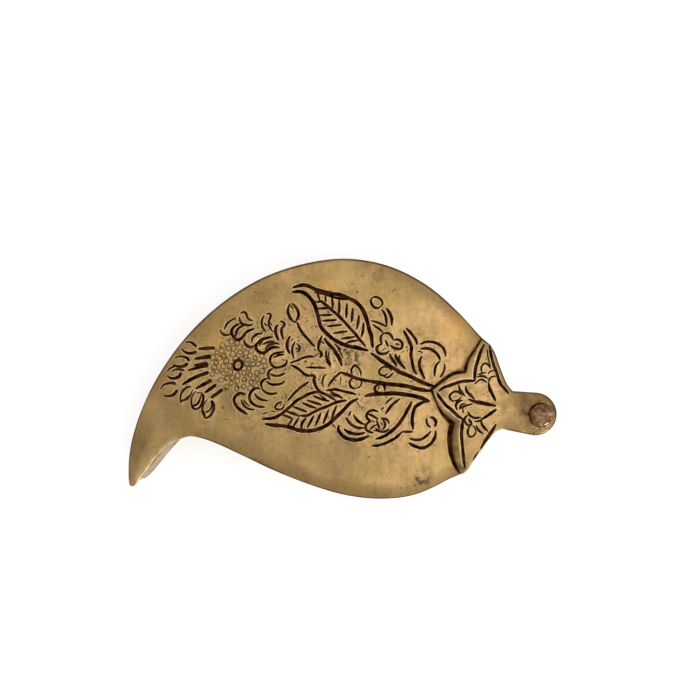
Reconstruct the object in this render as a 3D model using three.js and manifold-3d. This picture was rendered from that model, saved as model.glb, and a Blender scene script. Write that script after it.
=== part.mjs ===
// A mango-shaped brass box, seen from above with its tip hooked down to the left and its stem to the right.
// A sheet floor carries two bent wall strips, a cast hinge lug between their ends and two cross dividers.
// The lid is a pillowed plate with a cast calyx brazed over its stem end. The calyx runs on into a short
// stem whose eye turns on one rivet, so the whole lid swings round flat over the rim.
// Millimetres, +Z up. The origin is on the table under the middle of the closed box.
import * as THREE from "three";
import { mergeVertices } from "three/addons/utils/BufferGeometryUtils.js";
import Module from "manifold-3d";

const wasm = await Module();
wasm.setup();

// Driving dimensions of the whole box
const length = 150;
const width = 84;
const wallHeight = 26;

// Box: floor, wall strips, dividers and hinge lug
const floorThickness = 1.5;
const wallThickness = 1.6;
const lidOverhang = 0.4;
const brazeGap = 0.3;
const dividerThickness = 1.2;
const dividerDrop = 2.5;
const floorToe = 0.6;
const lugRootDepth = 4;
const lugEarThickness = 6;
const lugFootHeight = 4;

// Lid: pillowed plate, calyx and stem
const lidEdgeThickness = 1.6;
const lidCrown = 1.2;
const lidRollWidth = 7;
const calyxThickness = 1.2;
const stemDrop = 0.7;
const stemDropStart = 3.5;
const stemDropLength = 4;
const eyeRadius = 7.5;

// Rivet, its washer under the eye and its burr under the lug
const shankRadius = 2;
const shankFit = 0.05;
const rivetHeadRadius = 4.2;
const rivetHeadHeight = 1.3;
const rivetTailRadius = 2.9;
const rivetTailHeight = 1.1;
const rivetPastEye = 1.8;
const rivetBelowEye = 0.35;
const turningClearance = 0.1;
const runningGap = 0.1;
const headSeatDepth = 0.5;
const headSeatClearance = 0.35;
const washerRadius = 5;
const washerThickness = 0.5;
const burrRadius = 3.6;
const burrThickness = 0.8;

// How finely curves are cut into straight stretches, and how far a cutting tool overruns
const cutOverrun = 2;
const bandRunOn = 5;
const mergeDistance = 1e-4;
const roundSegments = 36;
const bodyRibs = 52;
const tipCrowding = 1.25;
const flankRibs = 4;
const stemStraightRibs = 3;
const stemRoundRibs = 8;
const lobeSteps = 8;
const ribSteps = 8;

// Heights of the levels that the pieces stand on
const rimLevel = floorThickness + wallHeight;
const lidLevel = rimLevel + washerThickness + runningGap;
const burrLevel = rimLevel - lugEarThickness;

// The lid's outline as shares of length and width from the middle of the box. The tip ends blunt,
// so the back and the hook start a little apart.
const backShares = [
  [-0.4975, -0.45], [-0.5, -0.398], [-0.4965, -0.298], [-0.474, -0.158],
  [-0.433, 0.0], [-0.3655, 0.171], [-0.281, 0.3145], [-0.1875, 0.4185], [-0.0895, 0.4785],
  [0.009, 0.5], [0.107, 0.47], [0.196, 0.391], [0.271, 0.2765], [0.327, 0.168], [0.3455, 0.1405],
];
const hookShares = [
  [-0.4865, -0.4505], [-0.478, -0.431], [-0.4615, -0.385], [-0.436, -0.3185], [-0.41, -0.2785],
  [-0.384, -0.249], [-0.3565, -0.2425],
];
const bellyShares = [
  [-0.328, -0.248], [-0.29, -0.2725], [-0.2345, -0.3185], [-0.16, -0.3815], [-0.085, -0.435],
  [-0.01, -0.4775], [0.0465, -0.4955], [0.0935, -0.5], [0.14, -0.494], [0.177, -0.4785],
  [0.2145, -0.4505], [0.252, -0.4155], [0.2775, -0.3965], [0.2905, -0.385],
];
const upperFlankShares = [
  [0.3565, 0.1025], [0.3665, 0.0525], [0.3775, 0.0025], [0.3855, -0.027], [0.397, -0.0515],
];
const lowerFlankShares = [
  [0.3035, -0.348], [0.3235, -0.298], [0.3435, -0.248], [0.356, -0.223], [0.3735, -0.2095],
];

// The box's own wall bows out a little past the lid where the hook is hollowest
const wallHookShares = [
  [-0.4865, -0.4505], [-0.4755, -0.4345], [-0.455, -0.395], [-0.428, -0.335], [-0.405, -0.2895],
  [-0.3825, -0.2515], [-0.3565, -0.2425],
];

// The calyx's leading edge: an upper lobe, a middle lobe with its point on the plate, and a lower lobe
const upperLobeShares = [[0.327, 0.168], [0.3065, 0.118], [0.2905, 0.0745], [0.2835, 0.028]];
const middleLobeShares = [
  [0.2835, 0.028], [0.259, 0.0215], [0.234, -0.0025], [0.211, -0.0475], [0.2165, -0.1],
  [0.233, -0.1465], [0.257, -0.182],
];
const lowerLobeShares = [
  [0.257, -0.182], [0.2475, -0.225], [0.2495, -0.303], [0.2605, -0.364], [0.2775, -0.3965],
];

// The rivet's domed head and hammered tail as shares of their radius and height
const headShares = [[1, 0], [1, 0.4], [0.93, 0.62], [0.72, 0.85], [0.4, 0.97], [0, 1]];
const tailShares = [[0, 1], [0.6, 0.85], [1, 0.2], [1, 0]];

// Where the eye lies across the box, and where the dividers stand along it
const eyeAcrossShare = -0.147;
const tipDividerShare = -0.19;
const stemDividerShare = 0.125;

const eye = new THREE.Vector2(length / 2 - eyeRadius, eyeAcrossShare * width);
const pivot = new THREE.Vector2(eye.x + rivetPastEye, eye.y - rivetBelowEye);

const toPoint = ([x, y]) => new THREE.Vector3(x * length, y * width, 0);

// A smooth curve through points given as shares, cut into stretches that crowd towards its start.
function curveThrough(shares, pieces, crowding = 1) {
  const curve = new THREE.CatmullRomCurve3(shares.map(toPoint), false, "centripetal");
  return Array.from({ length: pieces + 1 }, (_, i) => {
    const p = curve.getPointAt((i / pieces) ** crowding);
    return new THREE.Vector2(p.x, p.y);
  });
}

// A line run on straight past both its ends.
function runOn(line, reach) {
  const past = (end, next) => end.clone().add(end.clone().sub(next).setLength(reach));
  return [past(line[0], line[1]), ...line, past(line.at(-1), line.at(-2))];
}

// Moves an open line sideways, to its left where the distance is positive, keeping its corners sharp.
function movedSideways(line, distance) {
  return line.map((p, i) => {
    const before = line[Math.max(i - 1, 0)];
    const after = line[Math.min(i + 1, line.length - 1)];
    const into = (i === 0 ? after.clone().sub(p) : p.clone().sub(before)).normalize();
    const out = (i === line.length - 1 ? p.clone().sub(before) : after.clone().sub(p)).normalize();
    const along = into.clone().add(out).normalize();
    const stretch = 1 / along.dot(out);
    return new THREE.Vector2(p.x - along.y * distance * stretch, p.y + along.x * distance * stretch);
  });
}

// The stem's outline from one side of the neck: a straight edge that meets the eye's round end.
function stemSide(neck, side) {
  const toNeck = neck.clone().sub(eye);
  const turn = Math.acos(eyeRadius / toNeck.length());
  const start = toNeck.angle() - side * turn;
  const tangent = side * (((side * start) % (2 * Math.PI) + 2 * Math.PI) % (2 * Math.PI));
  const round = Array.from({ length: stemRoundRibs + 1 }, (_, i) => {
    const angle = tangent * (1 - i / stemRoundRibs);
    return new THREE.Vector2(Math.cos(angle), Math.sin(angle)).multiplyScalar(eyeRadius).add(eye);
  });
  const straight = Array.from({ length: stemStraightRibs }, (_, i) =>
    neck.clone().lerp(round[0], i / stemStraightRibs));
  return [...straight, ...round];
}

// Both sides of the lid's outline from the tip to the far end of the eye, in steps that pair up across it.
function sidesOf(hook) {
  const back = curveThrough(backShares, bodyRibs, tipCrowding);
  const belly = curveThrough([...hook, ...bellyShares], bodyRibs, tipCrowding);
  const upperFlank = curveThrough([backShares.at(-1), ...upperFlankShares], flankRibs);
  const lowerFlank = curveThrough([bellyShares.at(-1), ...lowerFlankShares], flankRibs);
  return {
    upper: [...back, ...upperFlank.slice(1, -1), ...stemSide(upperFlank.at(-1), 1)],
    lower: [...belly, ...lowerFlank.slice(1, -1), ...stemSide(lowerFlank.at(-1), -1)],
  };
}
const lidSides = sidesOf(hookShares);
const wallSides = sidesOf(wallHookShares);
const neckStep = bodyRibs + flankRibs;

// One closed outline, anticlockwise, from two sides that share their far end.
const closed = ({ upper, lower }) => [...lower, ...upper.slice(0, -1).reverse()];

// Moves a closed outline inwards.
function movedInwards(outline, distance) {
  const wrapped = [outline.at(-1), ...outline, outline[0]];
  return movedSideways(wrapped, distance).slice(1, -1);
}

const lidOutline = closed(lidSides);
const boxOutline = movedInwards(closed(wallSides), lidOverhang);

// Solids for joining and cutting
function solid(geometry) {
  const bare = geometry.index ? geometry.toNonIndexed() : geometry.clone();
  bare.deleteAttribute("normal");
  bare.deleteAttribute("uv");
  const merged = mergeVertices(bare, mergeDistance);
  return new wasm.Manifold(new wasm.Mesh({
    numProp: 3,
    vertProperties: merged.attributes.position.array,
    triVerts: new Uint32Array(merged.index.array),
  }));
}

// An upright solid on a closed outline, from one level to another.
function prism(outline, bottom, top) {
  const geometry = new THREE.ExtrudeGeometry(new THREE.Shape(outline), {
    depth: top - bottom, bevelEnabled: false,
  });
  return solid(geometry.translate(0, 0, bottom));
}

// A strip that follows a line, reaching some way to its left and some way to its right.
function strip(line, left, right, bottom, top) {
  return prism([...movedSideways(line, -right), ...movedSideways(line, left).reverse()], bottom, top);
}

const disc = (radius, bottom, top, centre = pivot) =>
  solid(new THREE.CylinderGeometry(radius, radius, top - bottom, roundSegments)
    .rotateX(Math.PI / 2).translate(centre.x, centre.y, (bottom + top) / 2));

// Everything on one side of the line through two points, as a large upright slab.
function halfSpace(from, to, bottom, top) {
  const along = to.clone().sub(from).normalize();
  const away = new THREE.Vector2(-along.y, along.x);
  const reach = length + width;
  const corner = (a, b) => from.clone().addScaledVector(along, a * reach).addScaledVector(away, b * reach);
  return prism([corner(-1, 0), corner(1, 0), corner(1, 1), corner(-1, 1)], bottom, top);
}

function mesh(name, shape, material) {
  const { numProp, vertProperties, triVerts } = shape.getMesh();
  const positions = new Float32Array((vertProperties.length / numProp) * 3);
  for (let i = 0; i < positions.length / 3; i++) {
    positions.set(vertProperties.subarray(i * numProp, i * numProp + 3), i * 3);
  }
  const geometry = new THREE.BufferGeometry();
  geometry.setAttribute("position", new THREE.BufferAttribute(positions, 3));
  geometry.setIndex(new THREE.BufferAttribute(new Uint32Array(triVerts), 1));
  geometry.computeVertexNormals();
  const made = new THREE.Mesh(geometry, material);
  made.name = name;
  return made;
}

const engravedBrass = new THREE.MeshStandardMaterial({ color: 0xb8955c, roughness: 0.38, metalness: 1 });
const plainBrass = new THREE.MeshStandardMaterial({ color: 0xa98a55, roughness: 0.42, metalness: 1 });
const innerBrass = new THREE.MeshStandardMaterial({ color: 0x8f7548, roughness: 0.55, metalness: 1 });
const rivetCopper = new THREE.MeshStandardMaterial({ color: 0x846550, roughness: 0.45, metalness: 1 });

// Distance from a point to the lid's outline, negative outside it.
function depthInside(point) {
  let nearest = Infinity;
  let inside = false;
  for (let i = 0, j = lidOutline.length - 1; i < lidOutline.length; j = i++) {
    const a = lidOutline[j];
    const b = lidOutline[i];
    const edge = b.clone().sub(a);
    const share = THREE.MathUtils.clamp(point.clone().sub(a).dot(edge) / edge.lengthSq(), 0, 1);
    nearest = Math.min(nearest, a.clone().addScaledVector(edge, share).distanceTo(point));
    const crosses = a.y > point.y !== b.y > point.y;
    if (crosses && point.x < a.x + ((point.y - a.y) / edge.y) * edge.x) inside = !inside;
  }
  return inside ? nearest : -nearest;
}

// Height of the lid's pillowed top: it rolls down to the edge, and drops a little along the stem.
const neckMiddle = lidSides.upper[neckStep].clone().lerp(lidSides.lower[neckStep], 1 / 2);
function lidTop(point) {
  const share = THREE.MathUtils.clamp(depthInside(point) / lidRollWidth, 0, 1);
  const roll = lidCrown * (1 - (1 - share) ** 2);
  const dropFrom = neckMiddle.x + stemDropStart;
  const drop = stemDrop * THREE.MathUtils.smoothstep(point.x, dropFrom, dropFrom + stemDropLength);
  return lidLevel + lidEdgeThickness + roll - drop;
}

// The whole pillowed form of the lid and its stem, lifted and grown where it serves as a tool. Ribs
// cross it from side to side. Each rib point has a twin below it on the flat underside.
function pillow(lift, grow, bottom) {
  const upper = movedSideways(lidSides.upper, grow);
  const lower = movedSideways(lidSides.lower, -grow);
  const end = upper.pop().lerp(lower.pop(), 1 / 2);
  const positions = [];
  const index = [];
  const addPair = (p) => positions.push(p.x, p.y, lidTop(p) + lift, p.x, p.y, bottom) / 3 - 2;
  const quad = (a, b, c, d) => index.push(a, b, c, a, c, d);
  const rows = upper.map((top, i) => Array.from({ length: ribSteps + 1 }, (_, j) =>
    addPair(lower[i].clone().lerp(top, (1 - Math.cos((Math.PI * j) / ribSteps)) / 2))));
  const first = rows[0];
  const last = rows.at(-1);
  const pole = addPair(end);
  for (let j = 0; j < ribSteps; j++) {
    for (let i = 0; i + 1 < rows.length; i++) {
      const [here, next] = [rows[i], rows[i + 1]];
      quad(here[j], next[j], next[j + 1], here[j + 1]);
      quad(here[j] + 1, here[j + 1] + 1, next[j + 1] + 1, next[j] + 1);
    }
    quad(first[j], first[j + 1], first[j + 1] + 1, first[j] + 1);
    index.push(pole, last[j + 1], last[j], pole + 1, last[j] + 1, last[j + 1] + 1);
  }
  const rims = [rows.map((row) => row[0]), rows.map((row) => row[ribSteps]).reverse()];
  for (const rim of [[...rims[0], pole], [pole, ...rims[1]]]) {
    for (let i = 0; i + 1 < rim.length; i++) quad(rim[i], rim[i] + 1, rim[i + 1] + 1, rim[i + 1]);
  }
  const geometry = new THREE.BufferGeometry();
  geometry.setAttribute("position", new THREE.Float32BufferAttribute(positions, 3));
  geometry.setIndex(index);
  return solid(geometry);
}

// The plate ends on a straight line across the neck, hidden under the calyx.
const neckLine = lidSides.upper[neckStep].clone().sub(lidSides.lower[neckStep]);
const outwards = new THREE.Vector2(neckLine.y, -neckLine.x).normalize();
const beyond = (point, shift, bottom, top) => {
  const start = point.clone().addScaledVector(outwards, shift);
  return halfSpace(start, start.clone().sub(neckLine), bottom, top);
};
const plateEnd = lidSides.upper[neckStep - 1].clone().lerp(lidSides.lower[neckStep - 1], 1 / 2);
const toolBottom = lidLevel - cutOverrun;
const toolTop = lidLevel + lidEdgeThickness + lidCrown + calyxThickness + cutOverrun;

function lidPlate() {
  return pillow(0, 0, lidLevel).subtract(beyond(plateEnd, 0, toolBottom, toolTop));
}

function calyxOutline() {
  const [upper, middle, lower] = [upperLobeShares, middleLobeShares, lowerLobeShares]
    .map((shares) => curveThrough(shares, lobeSteps));
  const stem = [...lidSides.lower.slice(bodyRibs, -1), ...lidSides.upper.slice(bodyRibs).reverse()];
  return [...upper, ...middle.slice(1), ...lower.slice(1), ...stem];
}

// The calyx follows the plate's top beside it, and fills the full depth of the lid past the plate's end.
const headSeat = lidTop(pivot) + calyxThickness - headSeatDepth;
function calyxStem() {
  const plateRoom = pillow(brazeGap, cutOverrun, toolBottom)
    .subtract(beyond(plateEnd, brazeGap, toolBottom - cutOverrun, toolTop));
  return pillow(calyxThickness, cutOverrun, lidLevel)
    .intersect(prism(calyxOutline(), toolBottom, toolTop))
    .subtract(plateRoom)
    .subtract(disc(rivetHeadRadius + headSeatClearance, headSeat, toolTop))
    .subtract(disc(shankRadius + turningClearance, toolBottom, toolTop));
}

// Wall strips: the outer one runs round the back from the stem to the tip, and the inner one butts on it there.
const boxPrism = prism(boxOutline, floorThickness, rimLevel);
const pastNeck = (shift, bottom = floorThickness - cutOverrun) =>
  beyond(neckMiddle, shift, bottom, rimLevel + cutOverrun);
const wallLines = {
  outer: runOn(movedSideways(wallSides.upper.slice(0, neckStep + 1), -lidOverhang), bandRunOn),
  inner: runOn(movedSideways(wallSides.lower.slice(0, neckStep + 1), lidOverhang), bandRunOn),
};
const outerBand = (thickness) => strip(wallLines.outer, cutOverrun, thickness, floorThickness, rimLevel);
const innerBand = (thickness) => strip(wallLines.inner, thickness, cutOverrun, floorThickness, rimLevel);

function outerWall() {
  return boxPrism.intersect(outerBand(wallThickness)).subtract(pastNeck(0));
}

function innerWall() {
  return boxPrism.intersect(innerBand(wallThickness))
    .subtract(pastNeck(0)).subtract(outerBand(wallThickness + brazeGap));
}

function inside() {
  const room = wallThickness + brazeGap;
  return boxPrism.subtract(outerBand(room)).subtract(innerBand(room));
}

function floorPlate() {
  return prism(boxOutline, 0, floorThickness).subtract(pastNeck(floorToe, -cutOverrun));
}

// The hinge lug: a root that closes the box between the wall ends, and an ear on a curved bracket.
function hingeLug() {
  const axis = eye.clone().sub(neckMiddle);
  const earEnd = axis.length() + eyeRadius + cutOverrun;
  const rootStart = -lugRootDepth - cutOverrun;
  const earUnderside = wallHeight - lugEarThickness;
  const bracketReach = pivot.distanceTo(neckMiddle) - burrRadius - turningClearance;
  const side = new THREE.Shape();
  side.moveTo(rootStart, -cutOverrun);
  side.lineTo(0, -cutOverrun);
  side.lineTo(0, lugFootHeight);
  side.quadraticCurveTo(0, earUnderside, bracketReach, earUnderside);
  side.lineTo(earEnd, earUnderside);
  side.lineTo(earEnd, wallHeight + cutOverrun);
  side.lineTo(rootStart, wallHeight + cutOverrun);
  const profile = new THREE.ExtrudeGeometry(side, { depth: 2 * width, bevelEnabled: false })
    .translate(0, 0, -width).rotateX(Math.PI / 2).rotateZ(axis.angle())
    .translate(neckMiddle.x, neckMiddle.y, floorThickness);
  return inside().intersect(pastNeck(-lugRootDepth))
    .add(boxPrism.intersect(pastNeck(brazeGap)))
    .intersect(solid(profile))
    .subtract(disc(shankRadius + shankFit, floorThickness, rimLevel + cutOverrun));
}

function divider(acrossShare) {
  const x = acrossShare * length;
  const half = dividerThickness / 2;
  const slab = prism([
    new THREE.Vector2(x - half, -width), new THREE.Vector2(x + half, -width),
    new THREE.Vector2(x + half, width), new THREE.Vector2(x - half, width),
  ], floorThickness, rimLevel - dividerDrop);
  return inside().intersect(slab);
}

// The rivet as it is after riveting: a low domed head, a shank, and a tail hammered over the burr.
function rivet() {
  const tailLevel = burrLevel - burrThickness;
  const headLevel = headSeat + runningGap;
  const tail = tailShares.map(([r, z]) => [r * rivetTailRadius, tailLevel - z * rivetTailHeight]);
  const head = headShares.map(([r, z]) => [r * rivetHeadRadius, headLevel + z * rivetHeadHeight]);
  const profile = [...tail, [shankRadius, tailLevel], [shankRadius, headLevel], ...head]
    .map(([r, z]) => new THREE.Vector2(r, z));
  return solid(new THREE.LatheGeometry(profile, roundSegments)
    .rotateX(Math.PI / 2).translate(pivot.x, pivot.y, 0));
}

const washer = (radius, bottom, top) =>
  disc(radius, bottom, top).subtract(disc(shankRadius + shankFit, bottom - cutOverrun, top + cutOverrun));

const box = new THREE.Group();
box.add(
  mesh("floor_plate", floorPlate(), plainBrass),
  mesh("outer_wall", outerWall(), plainBrass),
  mesh("inner_wall", innerWall(), plainBrass),
  mesh("hinge_lug", hingeLug(), plainBrass),
  mesh("tip_divider", divider(tipDividerShare), innerBrass),
  mesh("stem_divider", divider(stemDividerShare), innerBrass),
);

const lid = new THREE.Group();
lid.add(
  mesh("lid_plate", lidPlate(), engravedBrass),
  mesh("calyx_stem", calyxStem(), engravedBrass),
);

const hinge = new THREE.Group();
hinge.add(
  mesh("pivot_rivet", rivet(), rivetCopper),
  mesh("pivot_washer", washer(washerRadius, rimLevel, rimLevel + washerThickness), plainBrass),
  mesh("rivet_burr", washer(burrRadius, burrLevel - burrThickness, burrLevel), rivetCopper),
);

const mangoBox = new THREE.Group();
mangoBox.add(box, lid, hinge);

export default mangoBox;
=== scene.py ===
# A mango-shaped brass box with an engraved lid that swings round on one rivet at its stem. Its pieces
# follow in the order in which such a box is put together. Lengths are millimetres until a mesh is made.
import math

import bmesh
import bpy
import numpy as np
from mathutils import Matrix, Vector, geometry, noise


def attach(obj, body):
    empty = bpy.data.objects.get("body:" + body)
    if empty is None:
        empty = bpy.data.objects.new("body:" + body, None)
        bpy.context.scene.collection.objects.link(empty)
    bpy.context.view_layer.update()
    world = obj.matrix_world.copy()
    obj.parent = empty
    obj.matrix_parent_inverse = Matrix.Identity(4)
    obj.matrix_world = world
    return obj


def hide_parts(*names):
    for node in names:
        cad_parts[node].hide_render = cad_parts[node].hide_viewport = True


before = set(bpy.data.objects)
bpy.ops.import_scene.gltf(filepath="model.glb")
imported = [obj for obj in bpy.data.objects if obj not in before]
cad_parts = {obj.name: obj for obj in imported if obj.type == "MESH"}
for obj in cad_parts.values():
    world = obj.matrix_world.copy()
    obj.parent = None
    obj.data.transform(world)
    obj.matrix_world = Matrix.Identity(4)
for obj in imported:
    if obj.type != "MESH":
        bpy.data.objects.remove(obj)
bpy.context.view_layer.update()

# The table under the box, the light and the camera. The photograph looks straight down on the lid
# from about half a metre, under a soft light that stands a little in front of it.
metre = 0.001
length = 150.0
width = 84.0
photo_side_px = 700
photo_length_px = 427.7
photo_middle_px = (342.25, 378.6)
mm_per_px = length / photo_length_px
lid_level = 28.1
camera_distance = 500.0
sensor_width = 36.0
white = (1, 1, 1, 1)
table_side = 4000.0
table_colour = (0.7, 0.7, 0.7, 1)
table_roughness = 0.9
table_glow = 0.6
surroundings_level = 0.6

# Where each soft box stands, its side, and how bright its surface looks
soft_boxes = {
    "overhead_light": ((270, -60, 900), 520, 1.35),
    "front_light": ((520, -620, 330), 300, 5.0),
    "back_light": ((-150, 560, 850), 380, 1.3),
}


def at_pixel(x, y):
    """The place at the lid's level, in millimetres, that shows at a pixel of the photograph."""
    return ((x - photo_middle_px[0]) * mm_per_px, (photo_middle_px[1] - y) * mm_per_px)


def placed(name, data):
    """A new object in the scene, at the origin."""
    thing = bpy.data.objects.new(name, data)
    bpy.context.scene.collection.objects.link(thing)
    return thing


def look_down(middle):
    """The camera, straight above the middle of the photograph's frame."""
    lens = bpy.data.cameras.new("camera")
    lens.sensor_width = sensor_width
    lens.lens = sensor_width * camera_distance / (photo_side_px * mm_per_px)
    camera = placed("camera", lens)
    camera.location = Vector((*middle, lid_level + camera_distance)) * metre
    bpy.context.scene.camera = camera


def soft_lamp(name, place, side, radiance):
    """A square soft box that faces the lid."""
    light = bpy.data.lights.new(name, "AREA")
    light.size = side * metre
    light.energy = math.pi * radiance * light.size ** 2
    lamp = placed(name, light)
    lamp.location = Vector(place) * metre
    lamp.rotation_euler = (-lamp.location).to_track_quat("-Z", "Y").to_euler()


def node_maker(tree, prefix=""):
    """A short way to add a node to a tree, with its settings and with its inputs linked or set."""
    def add(kind, settings=None, inputs=None):
        node = tree.nodes.new(prefix + kind)
        for key, value in (settings or {}).items():
            setattr(node, key, value)
        for key, value in (inputs or {}).items():
            if isinstance(value, bpy.types.NodeSocket):
                tree.links.new(value, node.inputs[key])
            else:
                node.inputs[key].default_value = value
        return node

    return add


def finish(name):
    """A new material, its main shader, and short ways to add a node and to link a value to a socket."""
    material = bpy.data.materials.new(name)
    material.use_nodes = True
    tree = material.node_tree

    def feed(socket, value):
        tree.links.new(value, socket)

    return material, tree.nodes["Principled BSDF"], node_maker(tree, "ShaderNode"), feed


def product(add, first, second):
    """One value times another."""
    return add("Math", {"operation": "MULTIPLY"}, {0: first, 1: second}).outputs[0]


def total(add, first, second):
    """One value and another together."""
    return add("Math", {"operation": "ADD"}, {0: first, 1: second}).outputs[0]


def larger(add, first, second):
    """The larger one of two values."""
    return add("Math", {"operation": "MAXIMUM"}, {0: first, 1: second}).outputs[0]


def white_table():
    """A white table that keeps the shadows on it, and shows white to the camera and in the metal."""
    bpy.ops.mesh.primitive_plane_add(size=table_side * metre)
    table = bpy.context.object
    table.name = "table_top"
    material, shader, add, feed = finish("white_table")
    shader.inputs["Base Color"].default_value = table_colour
    shader.inputs["Roughness"].default_value = table_roughness
    shader.inputs["Emission Color"].default_value = white
    path = add("LightPath").outputs
    seen = larger(add, path["Is Camera Ray"], path["Is Glossy Ray"])
    seen = larger(add, seen, path["Is Transmission Ray"])
    feed(shader.inputs["Emission Strength"], product(add, seen, table_glow))
    table.data.materials.append(material)


def plain_surroundings():
    """Even, neutral light from all round."""
    world = bpy.data.worlds.new("surroundings")
    bpy.context.scene.world = world
    world.use_nodes = True
    sky = world.node_tree.nodes["Background"]
    sky.inputs["Color"].default_value = white
    sky.inputs["Strength"].default_value = surroundings_level


look_down(at_pixel(photo_side_px / 2, photo_side_px / 2))
for name, (place, side, radiance) in soft_boxes.items():
    soft_lamp(name, place, side, radiance)
white_table()
plain_surroundings()
bpy.context.scene.view_settings.view_transform = "Standard"

# The floor: a sheet of brass cut to the mango outline. It was sawn by hand, so its corners are
# softened, and years of being pushed about a shelf have dulled it.
floor_corner = 0.35
corner_steps = 3
same_place = 0.002
flat_turn = math.radians(1)
sharp_turn = math.radians(28)
smooth_turn = math.radians(38)
noise_roughness = 0.55

# Each mottling of a sheet: its size, its detail and how rubbing has drawn it out
sheet_patches = (26, 4.0)
sheet_spots = (5, 6.0)
sheet_rubbing = (1.6, 3.0, (1, 1, 0.08))
sheet_waves = (9, 3.0)
sheet_grain = (0.35, 2.0)

# Between which values of a mottling a change comes in, and from how little to how much
patches_fade = (0.35, 0.68)
spots_fade = (0.5, 0.72)
rubbing_stains = (0.35, 0.8, 0.0, 0.2)
spots_roughen = (0.0, 1.0, 0.0, 0.3)
rubbing_roughens = (0.2, 0.8, 0.0, 0.12)
wave_height = 0.16
rubbing_height = 0.012
grain_height = 0.008


def blotches(add, where, size, detail=4.0, stretch=(1, 1, 1)):
    """Soft random blotches of about one size, in millimetres."""
    turned = add("Mapping", inputs={"Vector": where, "Scale": stretch})
    return add("TexNoise", inputs={
        "Vector": turned.outputs[0], "Scale": 1 / (size * metre), "Detail": detail,
        "Roughness": noise_roughness,
    }).outputs["Fac"]


def between(add, value, low, high, floor=0.0, ceiling=1.0):
    """A value spread from one range to another, smoothly, and held at its ends."""
    return add("MapRange", {"interpolation_type": "SMOOTHSTEP"}, {
        "Value": value, "From Min": low, "From Max": high, "To Min": floor, "To Max": ceiling,
    }).outputs[0]


def mixed(add, share, first, second):
    """One colour laid over another by a share."""
    colours = [value if isinstance(value, bpy.types.NodeSocket) else (*value, 1) for value in (first, second)]
    return add("Mix", {"data_type": "RGBA"}, {0: share, 6: colours[0], 7: colours[1]}).outputs[2]


def raised(add, heights):
    """Bumps laid on each other, each a value and how far it stands up, in millimetres."""
    normal = None
    for value, height in heights:
        inputs = {"Height": value, "Distance": height * metre, "Strength": 1.0}
        if normal is not None:
            inputs["Normal"] = normal
        normal = add("Bump", inputs=inputs).outputs[0]
    return normal


def sheet_brass(name, bright, dull, stain, roughness, stain_share):
    """Rolled brass sheet, rubbed along its length, with patches of tarnish and fine scratches."""
    material, shader, add, feed = finish(name)
    where = add("TexCoord").outputs["Object"]
    patches = between(add, blotches(add, where, *sheet_patches), *patches_fade)
    spots = between(add, blotches(add, where, *sheet_spots), *spots_fade, 0.0, stain_share)
    rubbed = blotches(add, where, *sheet_rubbing)
    colour = mixed(add, patches, bright, dull)
    colour = mixed(add, spots, colour, stain)
    colour = mixed(add, between(add, rubbed, *rubbing_stains), colour, stain)
    feed(shader.inputs["Base Color"], colour)
    shader.inputs["Metallic"].default_value = 1.0
    worn = total(add, between(add, spots, *spots_roughen), between(add, rubbed, *rubbing_roughens))
    feed(shader.inputs["Roughness"], total(add, worn, roughness))
    waves = blotches(add, where, *sheet_waves)
    grain = blotches(add, where, *sheet_grain)
    feed(shader.inputs["Normal"], raised(add, [
        (waves, wave_height), (rubbed, rubbing_height), (grain, grain_height)]))
    return material


def finished(made, name, material):
    """A bmesh turned into a smooth piece with its faces outwards."""
    bmesh.ops.triangulate(made, faces=[face for face in made.faces if len(face.verts) > 4])
    bmesh.ops.recalc_face_normals(made, faces=made.faces)
    mesh = bpy.data.meshes.new(name)
    made.to_mesh(mesh)
    made.free()
    mesh.shade_smooth()
    mesh.set_sharp_from_angle(angle=smooth_turn)
    mesh.materials.append(material)
    return placed(name, mesh)


def softened_copy(node, name, corner, material):
    """A copy of a CAD piece with its sharp corners rounded off."""
    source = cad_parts[node]
    made = bmesh.new()
    made.from_mesh(source.data)
    made.transform(source.matrix_world)
    bmesh.ops.remove_doubles(made, verts=made.verts, dist=same_place * metre)
    bmesh.ops.dissolve_limit(made, angle_limit=flat_turn, verts=made.verts, edges=made.edges)
    sharp = [edge for edge in made.edges if len(edge.link_faces) == 2 and edge.calc_face_angle() > sharp_turn]
    bmesh.ops.bevel(made, geom=sharp, offset=corner * metre, offset_type="OFFSET", segments=corner_steps,
                    profile=0.5, affect="EDGES", clamp_overlap=True)
    return finished(made, name, material)


outside_brass = sheet_brass(
    "outside_brass", bright=(0.4, 0.275, 0.125), dull=(0.3, 0.2, 0.088), stain=(0.15, 0.088, 0.036),
    roughness=0.36, stain_share=0.38)
floor = softened_copy("floor_plate", "floor_sheet", floor_corner, outside_brass)
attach(floor, "base")
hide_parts("floor_plate")

# The side of the box: two strips of brass sheet bent on edge. One runs round the rounded back to the
# tip, and the other follows the hook and the belly and butts on the first. Their rims are filed round.
floor_thickness = 1.5
wall_height = 26.0
wall_thickness = 1.6
wall_foot_rounding = 0.2
wall_face_steps = 7
wall_run_on = 5.0
lid_overhang = 0.4
braze_gap = 0.3
rim_rounding = 0.55
rounding_steps = 4
outline_step = 0.8
curve_steps = 24
wall_stations = 240
wedge_gap = 0.15
wedge_end_share = -0.4
rim_level = floor_thickness + wall_height
eye_radius = 7.5
eye_across_share = -0.147
eye_arc_turn = 3.0
sharpest_corner_share = 0.5
shortest_stretch = 1e-6

# How the strips waver: by how much, and over what length
long_bow = (0.07, 23)
short_bow = (0.035, 8)
short_bow_seed = 3
rim_dips = [(0.06, 15, 9)]

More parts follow.
